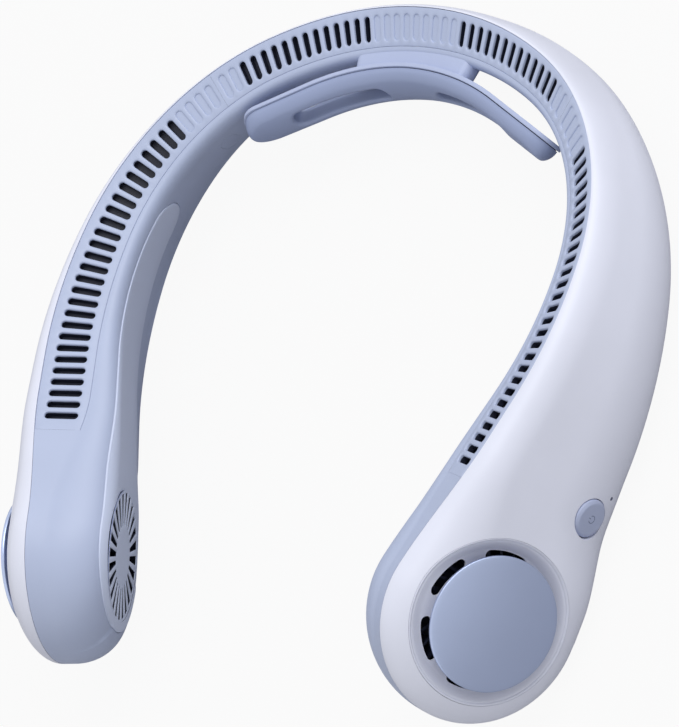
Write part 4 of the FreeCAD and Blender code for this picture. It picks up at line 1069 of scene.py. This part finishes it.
def make_cushion():
    """A crowned pad that rolls over at its outline and its slots."""
    points, faces, rolls = [], [], []
    for side in (0, 1, -1):
        rings = []
        for turn in [math.pi / 2 * share for share in shares(ROLL_STEPS, 1)]:
            grow = (PAD_SLOT_ROLL if side else PAD_ROLL) * (1 - math.cos(turn))
            ring = []
            for along, up in slot_edge(side, grow) if side else pad_edge(-PAD_LAP - grow):
                base = crown_at(up) - PAD_SLOT_ROLL if side else PAD_WALL
                ring.append((along, mix(base, crown_at(up), math.sin(turn)), up))
            rings.append(ring)
        rolls.append(rings)
        add_rings(points, faces, [[(along, PAD_SEAM_GAP, up) for along, _, up in rings[0]]] + rings)
    for end in (0, -1):
        outline, *slots = [[(along, up) for along, _, up in rings[end]] for rings in rolls]
        flat, sheet = filled(outline, slots, CUSHION_MESH)
        count = len(points)
        points += [(along, crown_at(up) if end else PAD_SEAM_GAP, up) for along, up in flat]
        faces += [tuple(count + i for i in face) for face in sheet]
    points = [pad_spot(*point) for point in points]
    cushion = new_piece("neck_pad_cushion_skin", points, faces, PAD, sharp=60)
    settle_on(cushion, "pad_soft", "neck_pad_cushion")


def make_pad():
    """The cushion, a near-black layer in the seam's gap as painted shade, and the stiff frame behind it."""
    make_cushion()
    levels = (PAD_SEAM_GAP + PAD_LAP, -PAD_LAP)
    seam = pad_layer("neck_pad_seam_shade", -PAD_SEAM_DEEP, PAD_SEAM_DEEP, levels, PAD_SEAM)
    settle_on(seam, "pad_soft")
    plate = pad_layer("neck_pad_frame_skin", FRAME_LIP, FRAME_SLOT_GROW, (0.0, -FRAME_THICK), PAD_FRAME)
    settle_on(soften(plate, FRAME_ROUND), "pad_plastic", "neck_pad_frame")


def make_mount():
    """The block between the band and the pad's frame, with rounded corners."""
    tall, middle = (MOUNT_LOW - MOUNT_TOP) / 2, -(MOUNT_TOP + MOUNT_LOW) / 2
    outline = []
    for i, (x, y) in enumerate(((1, 1), (-1, 1), (-1, -1), (1, -1))):
        for turn in [math.pi / 2 * (i + j / 8) for j in range(9)]:
            outline.append(round_spot(MOUNT_ROUND, turn, x * (MOUNT_HALF - MOUNT_ROUND),
                                      middle + y * (tall - MOUNT_ROUND)))
    outline = resample(outline, 200)
    rings = []
    for share in (0.0, 0.3, 0.6, 1.0):
        ring = []
        for along, up in outline:
            back = MOUNT_BACK + MOUNT_SLOPE * up - (along / MOUNT_BOW) ** 2
            ring.append(pad_place(along, mix(MOUNT_LAP - FRAME_THICK, back, share), up))
        rings.append(ring)
    mount = prism("neck_pad_mount_skin", rings, PAD_FRAME, sharp=50)
    settle_on(mount, "pad_plastic", "neck_pad_mount")


make_outer_shell()
make_inner_shell()
make_strips()
make_duct()
for side, word in ((1, "left"), (-1, "right")):
    make_cover(side, word + "_inner_cover")
    make_grille(side, word + "_grille")
    make_dish(side, word + "_intake_dish")
    make_cap(side, word + "_disc_cap")
make_button()
make_pad()
make_mount()


# Floor, light and camera

# The photograph's viewpoint, worked out for the worn fan: its axes, and its offset in millimetres
VIEW_RIGHT = Vector((0.724, 0.346, -0.597))
VIEW_UP = Vector((-0.071, 0.898, 0.435))
VIEW_BACK = Vector((0.686, -0.272, 0.675))
VIEW_OFFSET = (4.25, 49.749, 1684.679)
RIM_FRONT = 45.7
SENSOR, FOCAL_PIXELS, PHOTO_TALL = 36, 6335.7, 727
LAMP_AIM = (0, 0, 0.03)
FLOOR_WHITE, FLOOR_REACH, FLOOR_DROP = 0.93, 3.0, -0.0003
SKY_STRENGTH = 0.65


def make_camera():
    origin = stand(0, 0, 0)
    axes = [(stand(*axis) - origin).normalized() for axis in (VIEW_RIGHT, VIEW_UP, VIEW_BACK)]
    spot = -VIEW_OFFSET[0] * VIEW_RIGHT - VIEW_OFFSET[1] * VIEW_UP + VIEW_OFFSET[2] * VIEW_BACK
    data = bpy.data.cameras.new("photo_camera")
    data.lens = SENSOR * FOCAL_PIXELS / PHOTO_TALL
    data.sensor_width = SENSOR
    data.clip_end = 50
    camera = add_object("photo_camera", data)
    turn = Matrix(axes).transposed().to_4x4()
    camera.matrix_world = Matrix.Translation(stand(spot.x, spot.y - RIM_FRONT, spot.z)) @ turn
    bpy.context.scene.camera = camera


def lamp(name, spot, size, power):
    data = bpy.data.lights.new(name, "AREA")
    data.shape = "DISK"
    data.size = size
    data.energy = power
    made = add_object(name, data)
    made.location = spot
    made.rotation_euler = (Vector(LAMP_AIM) - Vector(spot)).to_track_quat("-Z", "Y").to_euler()


def background(tree, second):
    """1 for what the camera sees directly or by a second kind of ray, and 0 for the rest."""
    path = tree.nodes.new("ShaderNodeLightPath")
    return math_node(tree, "MAXIMUM", path.outputs["Is Camera Ray"], path.outputs[second])


def choose(tree, share, plain, white, output):
    """Shows the white shader by a share and the plain one by the rest."""
    mixed = tree.nodes.new("ShaderNodeMixShader")
    for socket, value in zip(mixed.inputs, (share, plain.outputs[0], white.outputs[0])):
        tree.links.new(value, socket)
    tree.links.new(mixed.outputs[0], tree.nodes[output].inputs["Surface"])


def make_floor_paint():
    """A pale floor that the camera sees near white, with the fan's soft shadow on it."""
    paint = bpy.data.materials.new("floor_white")
    paint.use_nodes = True
    tree = paint.node_tree
    matt = tree.nodes["Principled BSDF"]
    matt.inputs["Base Color"].default_value = (0.4, 0.4, 0.42, 1)
    matt.inputs["Roughness"].default_value = 0.9
    white = node(tree, "ShaderNodeEmission", Color=(1, 1, 1, 1), Strength=1.0)
    share = math_node(tree, "MULTIPLY", background(tree, "Is Transmission Ray"), FLOOR_WHITE)
    choose(tree, share, matt, white, "Material Output")
    return paint


def make_stage():
    world = bpy.data.worlds.new("studio")
    world.use_nodes = True
    tree = world.node_tree
    sky = tree.nodes["Background"]
    sky.inputs["Color"].default_value = (1, 1, 1, 1)
    sky.inputs["Strength"].default_value = SKY_STRENGTH
    white = node(tree, "ShaderNodeBackground", Color=(1, 1, 1, 1), Strength=1.0)
    choose(tree, background(tree, "Is Glossy Ray"), sky, white, "World Output")
    bpy.context.scene.world = world
    mesh = bpy.data.meshes.new("floor")
    corners = [(x * FLOOR_REACH, y * FLOOR_REACH, 0) for x, y in ((-1, -1), (1, -1), (1, 1), (-1, 1))]
    mesh.from_pydata(corners, [], [(0, 1, 2, 3)])
    mesh.materials.append(make_floor_paint())
    floor = add_object("floor", mesh)
    floor.location = (0, 0, FLOOR_DROP)
    lamp("key", (0.3, 0.55, 1.1), 0.9, 5.5)
    lamp("back", (0.5, 1.0, 0.7), 0.8, 3.4)
    lamp("front", (-0.1, -1.0, 0.45), 0.9, 0.3)
    bpy.context.scene.view_settings.view_transform = "Standard"


make_camera()
make_stage()
